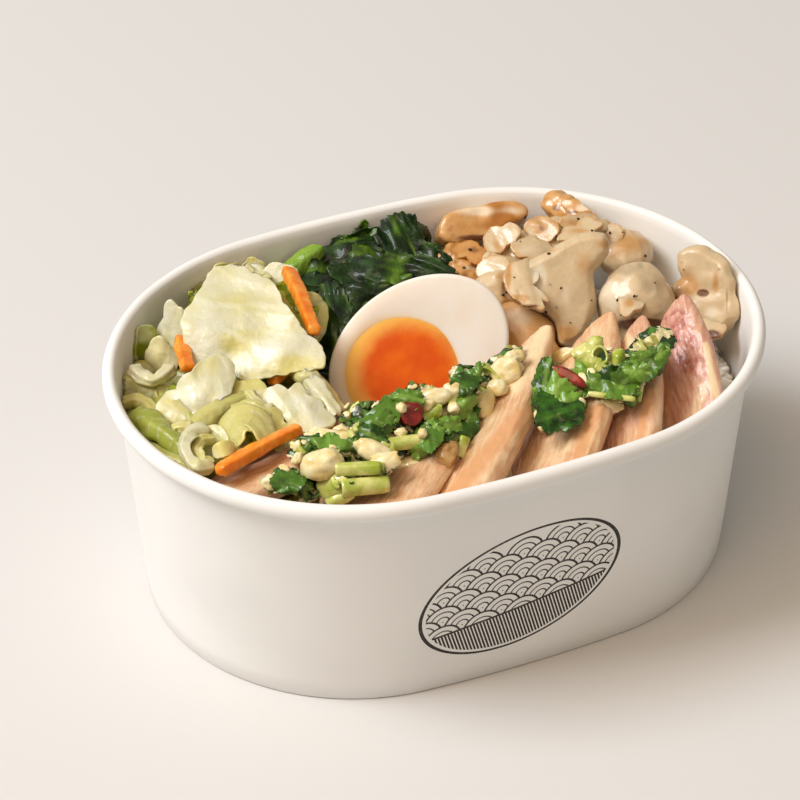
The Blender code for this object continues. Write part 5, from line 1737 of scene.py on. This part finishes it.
def herb_finishes():
    """The finishes of the relish, by the name of the piece that has them."""
    garlic = Finish("chopped garlic", roughness=0.25, base_color="#EBDDB4", subsurface_weight=0.4,
                    subsurface_radius=(0.004, 0.003, 0.0015), coat_weight=0.35, coat_roughness=0.12)
    tone = garlic.clouds(4, 3)
    garlic.put("Base Color", garlic.mix(tone.step(0.3, 0.7), "#F4E8BE", "#E4CB84"))
    garlic.put("Normal", garlic.bump(garlic.clouds(1.2, 3, 0.6), 0.15, 0.6))
    onion = Finish("spring onion", roughness=0.22, base_color="#A9C04C", subsurface_weight=0.3,
                   subsurface_radius=(0.002, 0.003, 0.001), coat_weight=0.4, coat_roughness=0.1)
    tone = onion.clouds(5, 3)
    onion.put("Base Color", onion.mix(tone.step(0.3, 0.7), "#9AAE26", "#DAD688"))
    onion.put("Normal", onion.bump(onion.clouds(1.0, 3, 0.6), 0.12, 0.5))
    herbs = Finish("chopped herbs", roughness=0.25, base_color="#35591F", subsurface_weight=0.15,
                   subsurface_radius=(0.001, 0.002, 0.0005), coat_weight=0.3, coat_roughness=0.08)
    herbs.put("Specular IOR Level", 0.3)
    tone = herbs.clouds(3.5, 4, 0.6)
    colour = herbs.mix(tone.step(0.32, 0.72), "#122C04", "#3A6A14")
    colour = herbs.mix(herbs.mark("light"), colour, "#7FA63A")
    herbs.put("Base Color", herbs.mix(herbs.mark("vein").step(0.4, 1.0) * 0.35, colour, "#9DBE5A"))
    herbs.put("Normal", herbs.bump(herbs.clouds(0.9, 3, 0.6), 0.2, 0.7))
    chilli = Finish("red chilli", roughness=0.18, base_color="#8E150C", subsurface_weight=0.1,
                    coat_weight=0.5, coat_roughness=0.08)
    tone = chilli.clouds(3, 2)
    chilli.put("Base Color", chilli.mix(tone.step(0.35, 0.75), "#6E0E0A", "#B1301A"))
    chilli.put("Normal", chilli.bump(chilli.clouds(1.2, 2), 0.12, 0.5))
    brown = Finish("browned garlic", roughness=0.28, base_color="#C08A50", subsurface_weight=0.2,
                   coat_weight=0.3, coat_roughness=0.15)
    brown.put("Base Color", brown.mix(brown.clouds(3, 3).step(0.3, 0.7), "#A9713A", "#D6A66C"))
    return {"relish_garlic": garlic, "relish_onion": onion, "relish_herbs": herbs,
            "relish_chilli": chilli, "relish_brown": brown}


groups = {name: [] for name in set(GROUPS.values())}

HERB_LIFT = 0.9
# Larger herb leaves as drawn in the picture: outline, slope, direction across the folds, lightness
HERB_LEAVES = (
    (((543, 357), (552, 370), (562, 386), (578, 398), (585, 411), (578, 424), (560, 431), (546, 432),
     (537, 426), (536, 408), (540, 390), (538, 374)), -0.9, 100, 0.0),
    (((366, 421), (378, 404), (392, 394), (408, 392), (421, 398), (417, 409), (402, 413), (388, 424),
     (375, 431)), -0.8, 60, 0.35),
    (((270, 482), (276, 472), (288, 470), (298, 476), (307, 480), (302, 488), (288, 491), (276, 491)),
     -0.8, 80, 0.15),
    (((634, 372), (640, 360), (652, 352), (665, 350), (666, 358), (658, 370), (648, 380), (638, 382)),
     -0.5, 40, 0.25),
    (((451, 420), (458, 400), (470, 392), (482, 398), (478, 415), (474, 432), (464, 443), (454, 436)),
     -0.8, 100, 0.1),
    (((419, 440), (424, 424), (436, 420), (443, 430), (438, 446), (428, 453)), -0.8, 20, 0.3),
    (((450, 387), (458, 374), (470, 371), (479, 380), (472, 391), (460, 395)), -0.6, 60, 0.1),
    (((588, 384), (592, 370), (604, 364), (616, 368), (628, 360), (640, 364), (640, 380), (632, 394),
     (614, 399), (600, 395)), -0.7, 20, 0.4),
    (((352, 446), (340, 438), (322, 437), (311, 441), (318, 447), (336, 449)), -0.6, 10, 0.6),
)
for k, (drawn, slope, direction, light) in enumerate(HERB_LEAVES):
    hit = landing(*middle_of(drawn))
    made = outline_leaf(f"herb_{k}", drawn, hit[0].z + HERB_LIFT, (0.0, slope), (0.7, 6.0), (0.5, 8.0),
                        (0.5, 5), 0.45, k + 31, 44, (direction, 0.8), 0.035)
    groups["relish_herbs"].append(painted(made, light=lambda p, light=light: light))
for number, bit in enumerate(BITS, 200):
    made = relish_bit(number, *bit)
    if made:
        groups[GROUPS[bit[0]]].append(made)
        add_ground(made)

# Fine bits scattered over the heaps: how many, and where in the picture
CRUMBS = 170
CRUMB_X, CRUMB_Y = (268, 665), (345, 495)
dice = random.Random(12)
for k in range(CRUMBS):
    px, py = dice.uniform(*CRUMB_X), dice.uniform(*CRUMB_Y)
    way, hit = sight(px, py), None
    for tree in relish_ground:
        found, normal, _, _ = tree.ray_cast(EYE * MM, way)
        if found is not None:
            hit = (found / MM, normal)
    if hit is None:
        continue
    kind = dice.choice(("garlic", "garlic", "pale", "leaf", "leaf", "onion"))
    size = dice.uniform(1.6, 3.4)
    facing = (Vector(hit[1]) + Vector([dice.uniform(-0.4, 0.4) for _ in range(3)])).normalized()
    place = seat_on(hit[0] + facing * 0.3, facing, image_direction(dice.uniform(0, 180)))
    if kind == "garlic":
        made = chunk_piece("crumb", place, (size, size * 0.7, size * 0.45), k, 0.3, 10, 8, 0.4)
    elif kind == "onion":
        made = ring_piece("crumb", place, size * 1.3, size * 0.4, size * 0.22, k)
    else:
        made = leaf("crumb", place, (size * 1.8, size * 1.2), (0.5, 0.6), (0.3, 1.5), (0.3, 2.0),
                    (0.3, 7), 0.4, k + 400, (10, 8), 0.1)
    groups[GROUPS[kind]].append(made)
for name, finish in herb_finishes().items():
    adopt(joined(groups[name], name), "relish", finish, *RELISH_NODES)


# Pepper flakes on the mushrooms

def pepper_finish():
    """Dry black and brown."""
    finish = Finish("cracked pepper", roughness=0.6, base_color="#1D130D")
    finish.put("Base Color", finish.mix(finish.clouds(0.6, 2), "#120B08", "#3A281A"))
    return finish


# Flakes in the picture: large ones one by one, small ones at random; none near the egg or in front
LARGE_FLAKES = [(503, 295), (561, 288), (525, 217), (634, 296), (592, 231), (610, 233),
                (645, 256), (549, 254), (464, 268), (507, 292), (470, 250), (556, 236),
                (618, 300), (730, 339), (546, 312), (578, 219)]
SMALL_FLAKES = 18
FLAKE_X, FLAKE_Y = (450, 720), (215, 330)
EGG_REACH = 31.0
FLAKE_FRONT = -12.0
flakes = []
dice = random.Random(3)
small_flakes = [(dice.uniform(*FLAKE_X), dice.uniform(*FLAKE_Y)) for _ in range(SMALL_FLAKES)]
for k, (px, py) in enumerate(LARGE_FLAKES + small_flakes):
    hit = landing(px, py)
    if hit is None:
        continue
    point, normal, _ = hit
    if (point - Vector(EGG_CENTRE)).length < EGG_REACH or point.y < FLAKE_FRONT:
        continue
    size = dice.uniform(0.4, 0.75) if k < len(LARGE_FLAKES) else dice.uniform(0.2, 0.35)
    place = seat_on(point + Vector(normal) * 0.2, normal, image_direction(dice.uniform(0, 180)))
    flakes.append(chunk_piece(f"flake_{k}", place, (size * 1.5, size, 0.5), k, 0.5, 8, 6, 0.6))
adopt(joined(flakes, "pepper_flakes"), "mushroom", pepper_finish())


# Floor, light and camera

# Softboxes: name, turn (180 is the left of the picture, 270 the front), rise, size, watts, colour
LIGHTS = (
    ("key", 188, 50, 1.1, 53.0, (0.84, 0.92, 1.0)),
    ("broad", 226, 62, 2.0, 28.0, (1.0, 0.7, 0.44)),
)
LIGHT_REACH = 2.4
LIGHT_AIM = Vector((0, 0, 0.05))


def setting():
    """The floor, the even light of the surroundings, the softboxes and the camera."""
    bpy.ops.object.select_all(action="DESELECT")
    bpy.ops.mesh.primitive_plane_add(size=FLOOR_SIZE, location=(0, 0, -FLOOR_DROP))
    floor = bpy.context.object
    floor.name = "floor"
    finish = Finish("pale floor", roughness=0.7, base_color=FLOOR_COLOUR)
    finish.put("Specular IOR Level", 0.2)
    floor.data.materials.append(finish.material)
    world = bpy.data.worlds.new("studio")
    bpy.context.scene.world = world
    world.use_nodes = True
    surround = world.node_tree.nodes["Background"]
    surround.inputs["Color"].default_value = SURROUND_COLOUR
    surround.inputs["Strength"].default_value = SURROUND_STRENGTH
    level = Vector((RIGHT.x, RIGHT.y, 0)).normalized()
    away = Vector((0, 0, 1)).cross(level)
    for name, turned, rise, size, watts, tint in LIGHTS:
        data = bpy.data.lights.new(name, "AREA")
        data.shape = "SQUARE"
        data.size = size
        data.energy = watts
        data.color = tint
        lamp = bpy.data.objects.new(name, data)
        bpy.context.scene.collection.objects.link(lamp)
        turned, rise = math.radians(turned), math.radians(rise)
        towards = (level * math.cos(turned) + away * math.sin(turned)) * math.cos(rise)
        towards += Vector((0, 0, math.sin(rise)))
        lamp.location = towards * LIGHT_REACH + LIGHT_AIM
        lamp.rotation_euler = towards.to_track_quat("Z", "Y").to_euler()

    data = bpy.data.cameras.new("camera")
    data.sensor_width = SENSOR
    data.lens = FOCAL / FRAME * SENSOR
    data.clip_end = 50.0
    camera = bpy.data.objects.new("camera", data)
    bpy.context.scene.collection.objects.link(camera)
    axes = Matrix((RIGHT, UP, BACK)).transposed().to_4x4()
    camera.matrix_world = Matrix.Translation(EYE * MM) @ axes
    bpy.context.scene.camera = camera
    bpy.context.scene.view_settings.view_transform = "Standard"


setting()
